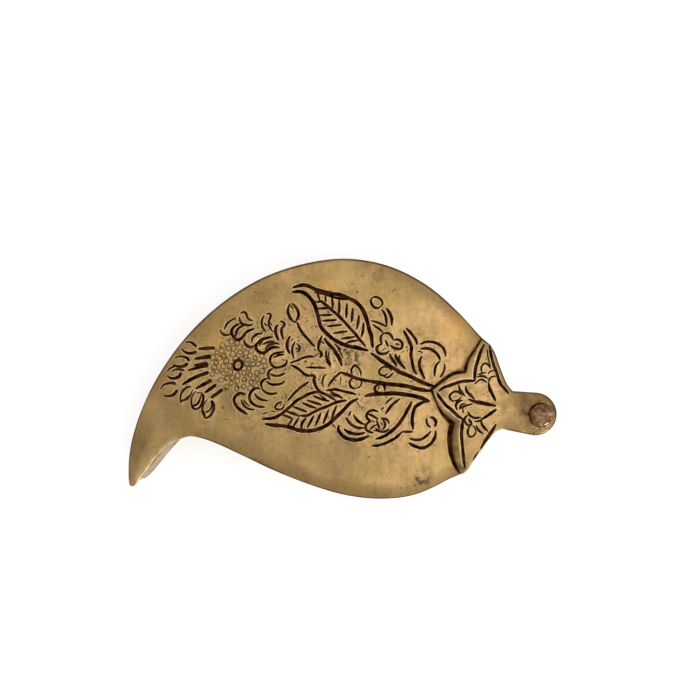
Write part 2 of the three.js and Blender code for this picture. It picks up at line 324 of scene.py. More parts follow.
# The outline, as shares of the length and width, with the corners that more than one line ends at first
tip_corner_shares = (-0.4795, -0.4365)
hook_end_shares = (-0.3565, -0.2405)
upper_shoulder_shares = (0.3455, 0.1405)
lower_shoulder_shares = (0.2905, -0.385)
back_shares = [
    (-0.4975, -0.436), (-0.4985, -0.398), (-0.495, -0.298), (-0.474, -0.158), (-0.433, 0.0),
    (-0.3655, 0.171), (-0.281, 0.3145), (-0.1875, 0.4185), (-0.0895, 0.4785), (0.009, 0.5),
    (0.107, 0.47), (0.196, 0.391), (0.271, 0.2765), (0.327, 0.168), upper_shoulder_shares,
]
hook_shares = [
    tip_corner_shares, (-0.4705, -0.4125), (-0.4575, -0.3845), (-0.4415, -0.3425), (-0.426, -0.311),
    (-0.405, -0.276), (-0.3915, -0.2625), (-0.376, -0.25), hook_end_shares,
]
wall_hook_shares = [
    tip_corner_shares, (-0.4715, -0.4225), (-0.455, -0.391), (-0.4285, -0.333), (-0.4075, -0.287),
    (-0.386, -0.2485), hook_end_shares,
]
belly_shares = [
    (-0.328, -0.248), (-0.29, -0.2725), (-0.2345, -0.3185), (-0.16, -0.3815), (-0.085, -0.435),
    (-0.01, -0.4775), (0.0465, -0.4955), (0.0935, -0.5), (0.14, -0.494), (0.177, -0.4785),
    (0.2145, -0.4505), (0.252, -0.4155), (0.2775, -0.3965), lower_shoulder_shares,
]
upper_flank_shares = [
    upper_shoulder_shares, (0.3565, 0.1025), (0.3665, 0.0525), (0.3775, 0.0025), (0.3855, -0.027),
    (0.397, -0.0515),
]
lower_flank_shares = [
    lower_shoulder_shares, (0.3035, -0.348), (0.3235, -0.298), (0.3435, -0.248), (0.356, -0.223),
    (0.3735, -0.2095),
]
eye = np.array([length / 2 - eye_radius, eye_across_share * width])


def run_along(line):
    """How far along a line each of its points lies."""
    return np.r_[0, np.cumsum(np.hypot(*np.diff(line, axis=0).T))]


def spaced(line, step=None, count=None):
    """A line cut anew into even stretches, by their length or by how many points it gets."""
    run = run_along(line[:, :2])
    count = count or max(round(run[-1] / step), 1) + 1
    places = np.linspace(0, run[-1], count)
    return np.column_stack([np.interp(places, run, line[:, i]) for i in range(line.shape[1])])


def smooth_through(points, step):
    """A smooth line through points, as a bent strip takes it, cut into short stretches."""
    points = np.asarray(points, float)
    knots = np.vstack([2 * points[0] - points[1], points, 2 * points[-1] - points[-2]])
    parts = []
    for before, start, end, after in zip(knots, knots[1:], knots[2:], knots[3:]):
        spans = [max(np.hypot(*(q - p)), shortest_stretch) ** 0.5
                 for p, q in ((before, start), (start, end), (end, after))]
        leave = (start - before) / spans[0] - (end - before) / (spans[0] + spans[1])
        leave = (leave + (end - start) / spans[1]) * spans[1]
        arrive = (end - start) / spans[1] - (after - start) / (spans[1] + spans[2])
        arrive = (arrive + (after - end) / spans[2]) * spans[1]
        s = np.linspace(0, 1, curve_steps, endpoint=False)[:, None]
        parts.append(start + leave * s + (3 * (end - start) - 2 * leave - arrive) * s ** 2
                     + (2 * (start - end) + leave + arrive) * s ** 3)
    return spaced(np.vstack([*parts, points[-1:]]), step)


def from_shares(shares):
    """A smooth line through points given as shares of the box's length and width."""
    return smooth_through(np.array(shares) * (length, width), outline_step)


def ways_at(angles):
    """Directions at some angles, each one long."""
    return np.column_stack([np.cos(angles), np.sin(angles)])


def stem_side(neck, side):
    """One side of the stem, from the neck straight to the eye and round to its far end."""
    to_neck = neck - eye
    turn = math.acos(eye_radius / np.hypot(*to_neck))
    start = math.atan2(to_neck[1], to_neck[0]) - side * turn
    steps = round(eye_radius * eye_arc_turn / outline_step)
    angles = np.linspace(side * (side * start % (2 * math.pi)), 0, steps)
    rounded = eye + eye_radius * ways_at(angles)
    return np.vstack([spaced(np.vstack([neck, rounded[0]]), outline_step)[:-1], rounded])


def joined(*parts):
    """Lines that follow on each other, without the points that they share."""
    return np.vstack([parts[0], *(part[1:] for part in parts[1:])])


def sides_of(hook):
    """The lid's upper and lower side, from the tip to the neck."""
    upper = joined(from_shares(back_shares), from_shares(upper_flank_shares))
    lower = joined(from_shares(hook + belly_shares), from_shares(lower_flank_shares))
    return upper, lower


def unit(ways):
    """Directions, each made one long."""
    return ways / np.hypot(*ways.T)[:, None]


def to_left(ways):
    """Directions turned a quarter to the left."""
    return np.column_stack([-ways[:, 1], ways[:, 0]])


def moved_left(line, distance):
    """An open line moved sideways to its left, with its corners kept."""
    ways = unit(np.diff(line, axis=0))
    out = np.vstack([ways, ways[-1:]])
    along = unit(np.vstack([ways[:1], ways]) + out)
    stretch = 1 / np.maximum((along * out).sum(1), sharpest_corner_share)
    return line + to_left(along) * (np.asarray(distance) * stretch)[:, None]


def run_on(line, reach):
    """A line run on straight past its last point."""
    way = line[-1] - line[-2]
    return np.vstack([line, line[-1] + way / np.hypot(*way) * reach])


def cut_where(line, value):
    """The part of a line where a value is over zero, ending right where it reaches zero."""
    values = value(line)
    kept = []
    for i, (p, v) in enumerate(zip(line, values)):
        if i and (values[i - 1] > 0) != (v > 0):
            share = values[i - 1] / (values[i - 1] - v)
            kept.append(line[i - 1] + share * (p - line[i - 1]))
        if v > 0:
            kept.append(p)
    return np.array(kept)


def nearest_on(points, start, run):
    """Where each point is nearest to each straight stretch, as a share of it, and how far off."""
    away = points[:, None] - start
    share = np.clip((away * run).sum(2) / (run ** 2).sum(1), 0, 1)
    return share, np.hypot(*(away - share[..., None] * run).transpose(2, 0, 1))


def gap_to(points, line):
    """How far each point is from an open line."""
    return nearest_on(points, line[:-1], np.diff(line, axis=0))[1].min(1)


def unevenness(points, size, seed=0.0):
    """Smooth random values from -1 to 1 that change over about one size, at points on the plan."""
    return np.array([noise.noise(Vector((p[0] / size, p[1] / size, seed))) for p in points])


def waver(points, parts, level=0.0):
    """A level made uneven by parts, each given by how much, over what length and with which seed."""
    return sum((share * unevenness(points, size, seed) for share, size, seed in parts), level)


lid_upper, lid_lower = sides_of(hook_shares)
wall_upper, wall_lower = sides_of(wall_hook_shares)
neck_middle = (lid_upper[-1] + lid_lower[-1]) / 2
neck_line = lid_upper[-1] - lid_lower[-1]
neck_way = np.array([neck_line[1], -neck_line[0]]) / np.hypot(*neck_line)
outer_line = run_on(moved_left(wall_upper, -lid_overhang), wall_run_on)
inner_line = run_on(moved_left(wall_lower, lid_overhang), wall_run_on)


def before_neck(points):
    """How far points lie on the box's side of the neck."""
    return (neck_middle - points) @ neck_way


def wall_profile():
    """The section of a wall strip: how far in from its outer face, and how high, round all its edges."""
    turns = np.linspace(0, math.pi / 2, rounding_steps + 1)
    outer = [(rim_rounding * (1 - math.sin(t)), rim_level - rim_rounding * (1 - math.cos(t))) for t in turns]
    inner = [(wall_thickness - inset, height) for inset, height in outer[::-1]]
    faces = np.linspace(rim_level - rim_rounding, floor_thickness + wall_foot_rounding, wall_face_steps)[1:]
    down = [(0.0, height) for height in faces]
    foot = [(inset, floor_thickness) for inset in (wall_foot_rounding, wall_thickness - wall_foot_rounding)]
    up = [(wall_thickness, height) for height in faces[::-1]]
    return [*inner, *outer, *down, *foot, *up]


def wall_strip(name, line, side, keep):
    """A wall strip along a line: each line of its section runs its whole length, and both ends close."""
    rails = []
    for inset, height in wall_profile():
        rail = cut_where(moved_left(line, side * inset), before_neck)
        rail = spaced(keep(rail), count=wall_stations)
        bow = waver(rail, [(*long_bow, side)])
        bow += waver(rail + height, [(*short_bow, short_bow_seed + side)])
        rail = moved_left(rail, side * bow)
        dip = waver(rail, rim_dips) if height > rim_level - 2 * rim_rounding else 0
        rails.append(np.column_stack([rail, np.full(wall_stations, height) + dip]))
    made = bmesh.new()
    rows = [[made.verts.new(Vector(p) * metre) for p in rail] for rail in rails]
    for row, beside in zip(rows, rows[1:] + rows[:1]):
        for i in range(wall_stations - 1):
            made.faces.new((row[i], row[i + 1], beside[i + 1], beside[i]))
    made.faces.new([row[0] for row in rows])
    made.faces.new([row[-1] for row in rows[::-1]])
    return finished(made, name, outside_brass)


def within_hook(rail):
    """The outer strip's end at the tip, which is filed to a wedge so that it stays inside the hook."""
    return rail[(gap_to(rail, inner_line) > wedge_gap) | (rail[:, 0] > wedge_end_share * length)]


def clear_of_outer(rail):
    """The inner strip starts where it meets the outer one."""
    return cut_where(rail, lambda points: gap_to(points, outer_line) - wall_thickness - braze_gap)


outer_wall = wall_strip("back_wall", outer_line, -1, within_hook)
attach(outer_wall, "base")
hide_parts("outer_wall")
inner_wall = wall_strip("belly_wall", inner_line, 1, clear_of_outer)
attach(inner_wall, "base")
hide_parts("inner_wall")

# The solder: each seam inside the box was run with a little brass solder, which froze in a narrow,
# uneven fillet along the feet of the walls and dividers and up the corners between them.
solder_radius = 0.8
solder_least_share = 0.4
solder_ripple_share = 0.35
solder_ripple_length = 2.6
solder_ripple_detail = 2.0
solder_ripple_fade = {"From Min": 0.3, "From Max": 0.7, "To Min": 1.0, "To Max": 2.0}
solder_step = 0.7
solder_sides = 8
solder_seed = 4.0
seam_step = 3.0
tip_divider_share = -0.19
stem_divider_share = 0.125
divider_thickness = 1.2
divider_drop = 2.5
lug_root_depth = 4.0


def at_height(plan, height):
    """Points on the plan, raised to a height."""
    return np.column_stack([plan, np.broadcast_to(height, len(plan))])


def along_seam(line, side, other):
    """A seam's path along the foot of a wall's inner face, clear of the other wall."""
    path = cut_where(moved_left(line, side * wall_thickness), lambda points: np.minimum(
        before_neck(points) - lug_root_depth, gap_to(points, other) - wall_thickness - solder_radius))
    return at_height(spaced(path, seam_step), floor_thickness)


def across_box(x):
    """Where a divider's face meets the two walls' inner faces."""
    ends = []
    for line, side in ((outer_line, -1), (inner_line, 1)):
        rail = moved_left(line, side * wall_thickness)
        step = np.argmax((rail[:-1, 0] - x) * (rail[1:, 0] - x) < 0)
        share = (x - rail[step, 0]) / (rail[step + 1, 0] - rail[step, 0])
        ends.append(rail[step, 1] + share * (rail[step + 1, 1] - rail[step, 1]))
    return ends


def divider_seams(share):
    """The paths of the seams round a divider: along its foot and up both its ends, on both faces."""
    foot = floor_thickness + solder_radius / 2
    top = rim_level - divider_drop - solder_radius
    paths = []
    for face in (-1, 1):
        x = share * length + face * divider_thickness / 2
        high, low = across_box(x)
        paths.append([(x, low, floor_thickness), (x, high, floor_thickness)])
        paths += [[(x, y, foot), (x, y, top)] for y in (high, low)]
    return [np.array(path) for path in paths]


def solder_tree(material):
    """A node tree that runs a rippled bead of solder along every path of a wire mesh."""
    tree = bpy.data.node_groups.new("solder_bead", "GeometryNodeTree")
    sockets = {}
    for name, kind in (("Paths", "Geometry"), ("Radius", "Float"), ("Ripple Share", "Float"),
                       ("Ripple Length", "Float"), ("Step", "Float"), ("Sides", "Int"), ("Seed", "Float")):
        socket = tree.interface.new_socket(name, in_out="INPUT", socket_type=f"NodeSocket{kind}")
        sockets[name] = socket.identifier
    tree.interface.new_socket("Beads", in_out="OUTPUT", socket_type="NodeSocketGeometry")
    add = node_maker(tree)
    add_sum = node_maker(tree, "ShaderNode")
    given = add("NodeGroupInput").outputs
    curve = add("GeometryNodeMeshToCurve", inputs={"Mesh": given["Paths"]})
    even = add("GeometryNodeResampleCurve", {"mode": "LENGTH"},
               {"Curve": curve.outputs[0], "Length": given["Step"]})
    place = add("GeometryNodeInputPosition")
    size = add_sum("Math", {"operation": "DIVIDE"}, {0: 1.0, 1: given["Ripple Length"]})
    ripple = add_sum("TexNoise", {"noise_dimensions": "4D"}, {
        "Vector": place.outputs[0], "W": given["Seed"], "Scale": size.outputs[0],
        "Detail": solder_ripple_detail})
    swing = add_sum("MapRange", inputs={"Value": ripple.outputs[0], **solder_ripple_fade})
    radius = total(add_sum, product(add_sum, swing.outputs[0], given["Ripple Share"]), solder_least_share)
    swollen = add("GeometryNodeSetCurveRadius", inputs={"Curve": even.outputs[0], "Radius": radius})
    section = add("GeometryNodeCurvePrimitiveCircle",
                  inputs={"Resolution": given["Sides"], "Radius": given["Radius"]})
    bead = add("GeometryNodeCurveToMesh", inputs={
        "Curve": swollen.outputs[0], "Profile Curve": section.outputs[0], "Fill Caps": True})
    smooth = add("GeometryNodeSetShadeSmooth", inputs={"Geometry": bead.outputs[0], "Shade Smooth": True})
    real = add("GeometryNodeRealizeInstances", inputs={"Geometry": smooth.outputs[0]})
    coloured = add("GeometryNodeSetMaterial", inputs={"Geometry": real.outputs[0], "Material": material})
    add("NodeGroupOutput", inputs={"Beads": coloured.outputs[0]})
    return tree, sockets


def solder_beads(paths, material):
    """All the solder seams as one plain mesh."""
    wire = bpy.data.meshes.new("solder_paths")
    starts = np.cumsum([0] + [len(path) for path in paths])
    edges = [(start + i, start + i + 1) for start, path in zip(starts, paths) for i in range(len(path) - 1)]
    wire.from_pydata((np.vstack(paths) * metre).tolist(), edges, [])
    tree, sockets = solder_tree(material)
    seams = placed("solder_paths", wire)
    modifier = seams.modifiers.new("solder", "NODES")
    modifier.node_group = tree
    for name, value in (("Radius", solder_radius * metre), ("Ripple Share", solder_ripple_share),
                        ("Ripple Length", solder_ripple_length * metre), ("Step", solder_step * metre),
                        ("Sides", solder_sides), ("Seed", solder_seed)):
        modifier[sockets[name]] = value
    made = bpy.data.meshes.new_from_object(seams.evaluated_get(bpy.context.evaluated_depsgraph_get()))
    seams.modifiers.remove(modifier)
    bpy.data.objects.remove(seams)
    made.name = "solder_seams"
    return placed("solder_seams", made)


solder_brass = sheet_brass(
    "solder_brass", bright=(0.42, 0.33, 0.18), dull=(0.3, 0.23, 0.13), stain=(0.12, 0.08, 0.04),
    roughness=0.42, stain_share=0.5)
seam_paths = [along_seam(outer_line, -1, inner_line), along_seam(inner_line, 1, outer_line)]
for share in (tip_divider_share, stem_divider_share):
    seam_paths += divider_seams(share)
solder = solder_beads(seam_paths, solder_brass)
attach(solder, "base")

# The two dividers: pieces of thin sheet cut to fit across the inside and soldered there. Their upper
# edges are filed round, and they are as dull as all of the inside.
divider_corner = 0.3
inside_brass = sheet_brass(
    "inside_brass", bright=(0.36, 0.26, 0.12), dull=(0.25, 0.17, 0.08), stain=(0.1, 0.06, 0.03),
    roughness=0.46, stain_share=0.6)
for node, name in (("tip_divider", "tip_compartment_wall"), ("stem_divider", "stem_compartment_wall")):
    divider = softened_copy(node, name, divider_corner, inside_brass)
    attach(divider, "base")
    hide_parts(node)

# The hinge lug: a casting that closes the box at the neck and carries an ear for the rivet. It was
# filed by hand after casting, so its edges are round and its faces a little lumpy.
lug_corner = 0.7
lug_brass = sheet_brass(
    "lug_brass", bright=(0.5, 0.36, 0.16), dull=(0.36, 0.25, 0.11), stain=(0.14, 0.08, 0.03),
    roughness=0.38, stain_share=0.6)
lug = softened_copy("hinge_lug", "cast_lug", lug_corner, lug_brass)
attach(lug, "base")
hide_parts("hinge_lug")

# The washer that holds the lid off the rim, and the burr that the rivet's tail is hammered over: rings
# punched from sheet, with a drawn edge on one side.
ring_corner = 0.15
rings = {"pivot_washer": ("lid_washer", "plain_brass"), "rivet_burr": ("tail_burr", "worn_rivet")}
for node, (name, slot) in rings.items():
    ring = softened_copy(node, name, ring_corner, lug_brass)
    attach(ring, "base")
    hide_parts(node)

# The lid plate: a sheet of brass dished over a stake, so that it swells in the middle and rolls down to
# its edge. The flower spray is cut in it freehand with gravers and a ring punch, and rubbed with black.
lid_edge_thickness = 1.6
lid_crown = 1.2
lid_roll_width = 7.0
stem_drop = 0.7
stem_drop_start = 3.5
stem_drop_length = 4.0
engraved_height = 2.8
plate_rounding = 0.5
plate_foot_rounding = 0.3

# How far apart the points of its mesh lie, how far they keep from cuts and edges, and how many are
# measured at a time
fill_step = 1.3
fine_fill_step = 0.55
fine_fill_reach = 3.2
fill_clearance = 0.32
fill_clearance_share = 0.3
underside_step = 4.0
cut_step = 0.5
ring_margin = 0.15
least_gap = 0.02
least_rise = 1e-9
block_points = 2000

# A groove's form: how deep it is, how it narrows to its ends, how it wavers, and its burr. The shares
# for each kind of cut are its width at its start and end, and how much of its length it swells over.
cut_depth_share = 0.4
deepest_cut = 0.5
cut_shoulder = 0.13
groove_roundness = 1.7
taper_reach = 2.2
taper_power = 0.7
plain_cut_shares = (0.45, 0.45, 0.0)
loop_cut_shares = (0.3, 0.95, 0.8)
bar_cut_shares = (0.62, 1.0, 0.3)
width_waver = [(0.2, 1.7, 5), (0.16, 0.8, 6)]
depth_waver = [(0.2, 1.1, 8)]
burr_height = 0.06
burr_reach = 0.1
burr_level_share = 0.5
burr_waver = [(0.8, 1.6, 13)]
least_burr_share = 0.1
black_start_share = 0.1
black_spread_share = 0.9
cut_rows = [(0.0, 0.0), (1.0, -0.15), (1.0, -0.02), (1.0, 0.1), (1.0, 0.32)]
unfolded_share = 0.8
look_cell = 5.0
look_corner_share = 0.71
look_reach = 1.4

# Each cut is its width and then the pixels that it passes through
flower_loops = [
    (2.4, 185, 342.4, 188.5, 341.8, 193, 343.5, 196, 346.5),
    (3, 181.4, 348.6, 184, 351.5, 188, 353.1, 192, 353.2, 195.8, 352),
    (2.4, 174.4, 358.3, 178, 356.6, 182.7, 356.6, 187, 358.1, 188.8, 360.6),
    (3.3, 173, 365, 178, 366.5, 183, 366.3, 187, 364),
    (1.7, 166.8, 371.4, 169.2, 368.6, 173.5, 366.6),
    (2, 170.8, 372, 174.2, 369.9, 178.5, 369.2, 183.5, 370.4),
    (3.4, 167, 375.9, 170.7, 378.2, 175.3, 378.2, 180, 375.4, 180.4, 373.5),
    (2.5, 160.1, 388.8, 163.3, 385.1, 168, 383.3, 173.5, 383.1, 175, 383.8),
    (3.2, 163.8, 395.5, 169, 396.2, 173.5, 394.4, 176.7, 390.7),
    (2.3, 180.3, 402, 180.5, 396, 182.5, 391, 186.5, 387.3),
    (2.4, 190.8, 387, 187, 387), (2, 181, 403.5, 180.3, 400.5), (1.8, 186, 397.5, 190, 395.5),
    (2.4, 192.4, 389.8, 190, 395.5, 186.5, 399, 181, 401),
    (2.4, 195.7, 391.1, 192.5, 395.3, 191.1, 400.8, 192, 406.4, 194.8, 409.3, 199.4, 407.3,
     202.2, 402.7, 203.3, 398.1, 202.6, 394.8),
    (2.5, 207.2, 399.4, 204, 403.6, 202.2, 409.2, 203.1, 413.8, 205.4, 417.9, 209.6, 416.1,
     212.8, 411, 213.7, 405.4, 211.6, 401.3),
    (2, 211.5, 402, 211.5, 406, 209.5, 410, 206.5, 412),
    (2.2, 201, 394, 199.5, 400, 196.8, 404.5, 193.8, 405.5), (1.8, 200.5, 392, 203.5, 395.5),
    (2.4, 201.5, 408, 203.5, 412.5, 204.5, 415.5), (1.6, 196.5, 392.5, 199, 393),
]
flower_bars = [
    (3.3, 199, 348.8, 213.6, 347.9), (3.8, 195.2, 358.7, 208.9, 356.6), (3.4, 195, 365.2, 206.9, 363.6),
    (2.7, 188.2, 370.2, 199.4, 367.4, 206.9, 365.9),
    (3.4, 182.4, 384.4, 190.4, 379.6, 198, 376, 207.2, 372.7),
    (3.5, 196.3, 388.3, 210.6, 380.5), (3.6, 205.2, 392.3, 215, 385.3), (3.6, 211.2, 397.6, 221, 390.4),
]
flower_petals = [
    (1.8, 236.1, 318, 233.3, 319.2, 229.8, 321.1, 226.9, 323.7, 225.3, 326.9, 224, 329.8),
    (2.3, 220.1, 329.8, 221.1, 332.3, 223.1, 334.2, 225.6, 335.2, 228.2, 334.9, 230.4, 333.9),
    (2.3, 240.6, 313.2, 242.2, 312.1, 244.4, 312.1, 246.3, 314.1, 247, 317, 249.2, 319.6, 252.7, 320.6),
    (2.3, 239.2, 317, 239.6, 319.2, 240.3, 321.8, 241.9, 323.7, 245.4, 324.8, 249.2, 325.3, 252.7, 324.5),
    (2.7, 239, 324, 235.8, 325.3, 233.3, 327.5, 231.5, 330.1, 231.4, 332.6, 232.6, 335.8, 234.9, 338.4,
     237.1, 340, 240.3, 339, 242.2, 337.4, 243.8, 334.9, 246, 332.3, 249.2, 330.4, 252.4, 329.4,
     254.3, 328.8),
    (2.3, 245.4, 325, 242.2, 325.9, 239.6, 327.2, 237.4, 329.1, 236.5, 331.7, 235.8, 334.5, 234.5, 336.8),
    (2.9, 243.8, 340, 244.4, 342.2, 246, 344.7, 248.6, 346.7, 251.1, 347, 254, 346),
    (2.4, 252.1, 341.9, 251.8, 339, 254.3, 336.1, 257.5, 333.9, 262, 333.6),
    (2.9, 272.8, 337.1, 269, 337.4, 265.2, 338.4, 261.3, 339.6, 258.1, 342.5, 255.9, 345.1, 255.9, 347.9,
     257.5, 350.8, 260.7, 352.7, 264.2, 352.7, 267.1, 350.8, 269.6, 348.6, 272.8, 347.3, 279.2, 347.4),
    (2, 259.1, 346, 260.4, 343.5, 262.6, 340.8),
    (2.3, 262.6, 344.4, 265.8, 342.8, 269.6, 341.9, 273.8, 341.2),
    (2.3, 265.2, 349.4, 268.3, 345.4, 272.2, 343.8, 276.6, 343.2, 279.2, 344.4),
    (2.3, 284.5, 351.8, 278, 352.7, 272.4, 354.6, 270.1, 358.3, 270.1, 362, 272.4, 365.7, 275.2, 367.5,
     279.8, 367.1, 284.5, 365.2, 286.8, 362, 286.5, 359.7),
    (2.3, 284, 354.6, 278.9, 355.1, 273.8, 357.4),
    (2.3, 272.9, 368.5, 269.7, 370.3, 267.8, 374, 269.7, 379.6),
    (2.3, 270.1, 374, 275.2, 375.9, 279.8, 375.4, 284.9, 373.1),
    (2.3, 267.8, 378.2, 263.2, 380, 260.9, 384.2, 262.3, 387.9),
    (2.3, 266.4, 381.4, 270.6, 384.2, 276.1, 384.6, 281.7, 383.3, 284.5, 380.9),
    (2.5, 260, 388.4, 255.3, 388.4, 251.4, 391.4, 249.3, 396, 250, 400.5, 253.5, 404.3, 258.5, 406.6,
     264.6, 407),
    (2.3, 261.8, 388.8, 265, 392, 270.6, 393.9, 277.1, 393),
    (2.3, 254.4, 393.4, 257.6, 397.6, 262.3, 399.9, 267.8, 400.8),
    (2.9, 245.2, 394.6, 241, 393.2, 236.8, 394.6, 234.1, 398.5, 234.5, 402.7, 237.3, 407.3, 241.9, 411,
     247, 414.2),
    (2.1, 240.9, 399.8, 243, 404.2, 246.5, 407.8, 250.5, 409.4, 254.5, 409.6),
    (1.4, 243, 399.4, 246, 403.2, 249.4, 406.2),
]
sprigs = [
    (2, 263.6, 315.7, 262.3, 318.6, 261.6, 322.4, 262, 326.3, 263.9, 329.4, 265.8, 331.7),
    (2, 266, 313.9, 269, 313.5, 270.9, 315.4, 269.6, 318.6, 268.7, 321.8, 268.7, 325, 270.3, 328.2,
     272.5, 331.7),
    (2, 264.2, 323.1, 266.7, 325.9), (1.5, 270.3, 322.7, 271.9, 325.3),
    (2.9, 277.9, 324.7, 276, 327.2, 275.4, 330.7, 276, 334.5, 277.6, 338.4, 278.5, 340.3),
    (2.5, 280.1, 321.3, 282.4, 321.5, 284.6, 324, 284, 325.6, 281.7, 328.2, 281.4, 332, 282.1, 335.8,
     283.3, 339.6),
    (2.5, 291.9, 303.3, 294.8, 306, 297.5, 310.1, 298.5, 314.8, 297.5, 318.5, 295.2, 321.6),
    (2.6, 289.6, 304.3, 288.1, 307.8, 287.8, 311.6, 289.1, 316, 291.3, 319.6, 295, 322.7),
    (1.6, 290.6, 305.5, 292.9, 308.8),
    (2.6, 297.1, 322.5, 299.8, 328.8, 302.3, 332.7, 305.5, 336.5, 309.3, 340.9, 312.5, 344.5, 315.1, 346.4),
    (1.8, 281.8, 401.3, 278.1, 403.1, 274.9, 407.3, 277.2, 409.4, 281.8, 408.9, 284.6, 404.5),
    (2.4, 287.7, 400.9, 290.2, 397.7, 293.4, 393.9, 297.2, 390.1, 301, 386.9, 304.2, 384.9, 308.4, 381.8),
    (1.2, 261.9, 414.2, 267.9, 412.4), (1.2, 270.3, 411, 275.3, 411.6),
    (1.9, 371.6, 298, 374.8, 296.8, 378.5, 297.8, 381.3, 300.2, 382.5, 303.8, 380.5, 306.8),
    (2.3, 380.5, 306.8, 377.1, 308.2, 373.8, 306.9, 371.5, 303.8, 370.8, 300.6, 371.6, 298),
    (2.5, 381.6, 309.5, 383.9, 312.4, 385.4, 315.8, 386.2, 320.4, 386.5, 325.6),
    (2.8, 386.2, 308.4, 388.5, 311.2, 390.3, 314.7, 391.7, 318.7, 391.7, 322.1, 391.7, 325.3),
    (2, 371.3, 320.7, 376.5, 322.1, 381.6, 324.2, 386.2, 326.7),
    (2, 372.5, 324.4, 376.5, 327.3, 379.9, 329.6, 382.8, 332.5),
]
upper_leaf = [
    (3.6, 292.9, 287.5, 297.5, 286.1, 303.1, 285, 308.6, 286.1, 314.2, 288.9, 321.6, 291.2, 330.8, 293.5,
     340.1, 294.9, 348.4, 298.1, 354.9, 301.4, 360.4, 306.4, 364.6, 313.8, 367.4, 322.2, 369.3, 330.1,
     371.2, 335.2, 371.8, 340.9, 372.8, 347.3),
    (2.4, 314.2, 292.1, 324.4, 294, 335.5, 297.7, 347.5, 299.5),
    (3.5, 292, 292.1, 296.6, 291.6, 301.2, 291.8, 305.9, 294, 310.5, 298.6, 313.7, 303.2, 316, 309.2,
     318.3, 317.5, 320.2, 325.6, 323.4, 330.1, 327.2, 333.9, 331, 337.4, 335.5, 340.6, 340.6, 343.2,
     345.7, 345.4, 350.8, 346.7, 356.5, 347.6, 362.3, 349.2, 368, 350.5),
    (2.7, 319.7, 300.4, 325.3, 304.6, 331.8, 310.1, 337.3, 314.8, 343.8, 321.2, 351.4, 329.8, 355.3, 333.9,
     359.1, 339, 362.3, 342.5, 365.5, 346.7),
    (2.6, 317.4, 293, 319.3, 299.5), (2.6, 325.3, 295.8, 325.7, 301.8),
    (2.6, 331.8, 297.7, 332.7, 304.6, 332.2, 309.7), (2.6, 339, 300.4, 339.2, 307.4, 338.7, 314.3),
    (2.6, 346.7, 303.7, 346.5, 310.1, 346.1, 318), (2.6, 352.8, 308.3, 352.3, 314.8, 351.6, 322.2),
    (2.6, 358.8, 315.2, 358.1, 322.2, 356.7, 329.1), (2.6, 363.5, 322.6, 362.6, 332, 361.3, 336.8),
    (2.4, 315.6, 302.1, 323, 301.2), (2.4, 317, 308.5, 328.5, 308.1), (2.4, 319.7, 315.2, 332.2, 314.9),
    (2.4, 322, 320.8, 336.4, 320), (2.4, 327.1, 326.3, 341.9, 324.7),
    (2.5, 333.3, 333.3, 339.9, 332.3, 347.3, 331.4),
    (2.4, 340.9, 338.7, 347.6, 337.8, 354.6, 336.8), (2.4, 345, 343.5, 350.2, 341.6, 358.4, 340.3),
]
lower_leaf = [
    (3, 262, 419, 263.8, 418.8, 269.8, 418.6, 274.4, 417.7, 280, 414.7, 286.4, 409.6, 292.1, 404.7,
     295.3, 401.5, 299.1, 399, 303, 397.1, 307.4, 394.5, 311.9, 392.9, 316.4, 392, 319.5, 392),
    (3.5, 265.2, 423.9, 273.5, 425.3, 281.8, 425.8, 290.1, 427.3, 297.5, 429.9, 304.9, 431, 312.3, 430.6,
     319.7, 428.5, 327.1, 424.9, 333.6, 419.3, 339.1, 414.2, 344.7, 408.7, 350.2, 402.8, 353.3, 400.9,
     357.8, 398.7),
    (2.8, 299.4, 415.6, 306.8, 415.6, 312.3, 412.8, 319.7, 409.1, 327.1, 406.4, 334.5, 402.9, 341.2, 401.2,
     346.3, 400.3),
    (2.5, 282.7, 415.1, 287.4, 416.5, 292.5, 418.8), (2.5, 286.4, 411.4, 292.9, 413.5, 299.4, 416.1),
    (2.5, 293.4, 406.8, 299.4, 409.1, 306.8, 411.9), (2.5, 302.4, 403, 309.6, 405.9, 316, 408.2),
    (2.5, 307.1, 400.3, 311.9, 401.9, 317, 403.5, 321.5, 404.9), (2.5, 313.2, 396.1, 318.3, 398, 323.4, 399.6,
     329.1, 401.2), (2.4, 330.4, 391.3, 334.2, 393.9, 338.7, 396.1, 342.5, 398.3),
    (2.6, 292, 419.3, 288.3, 424.8), (2.6, 298.5, 417.9, 295.7, 422.5, 293.4, 426.2),
    (3, 305.9, 418.4, 302.2, 422.5, 301, 428.5), (2.6, 313.7, 415.6, 310.5, 421.6, 307.2, 427.6),
    (2.6, 320.7, 412.8, 317.9, 419.8, 315.6, 425.3), (2.6, 328.5, 409.6, 325.7, 417, 323.2, 423.5),
    (2.6, 336.4, 405.9, 333.6, 412.4, 331.6, 419.8),
]
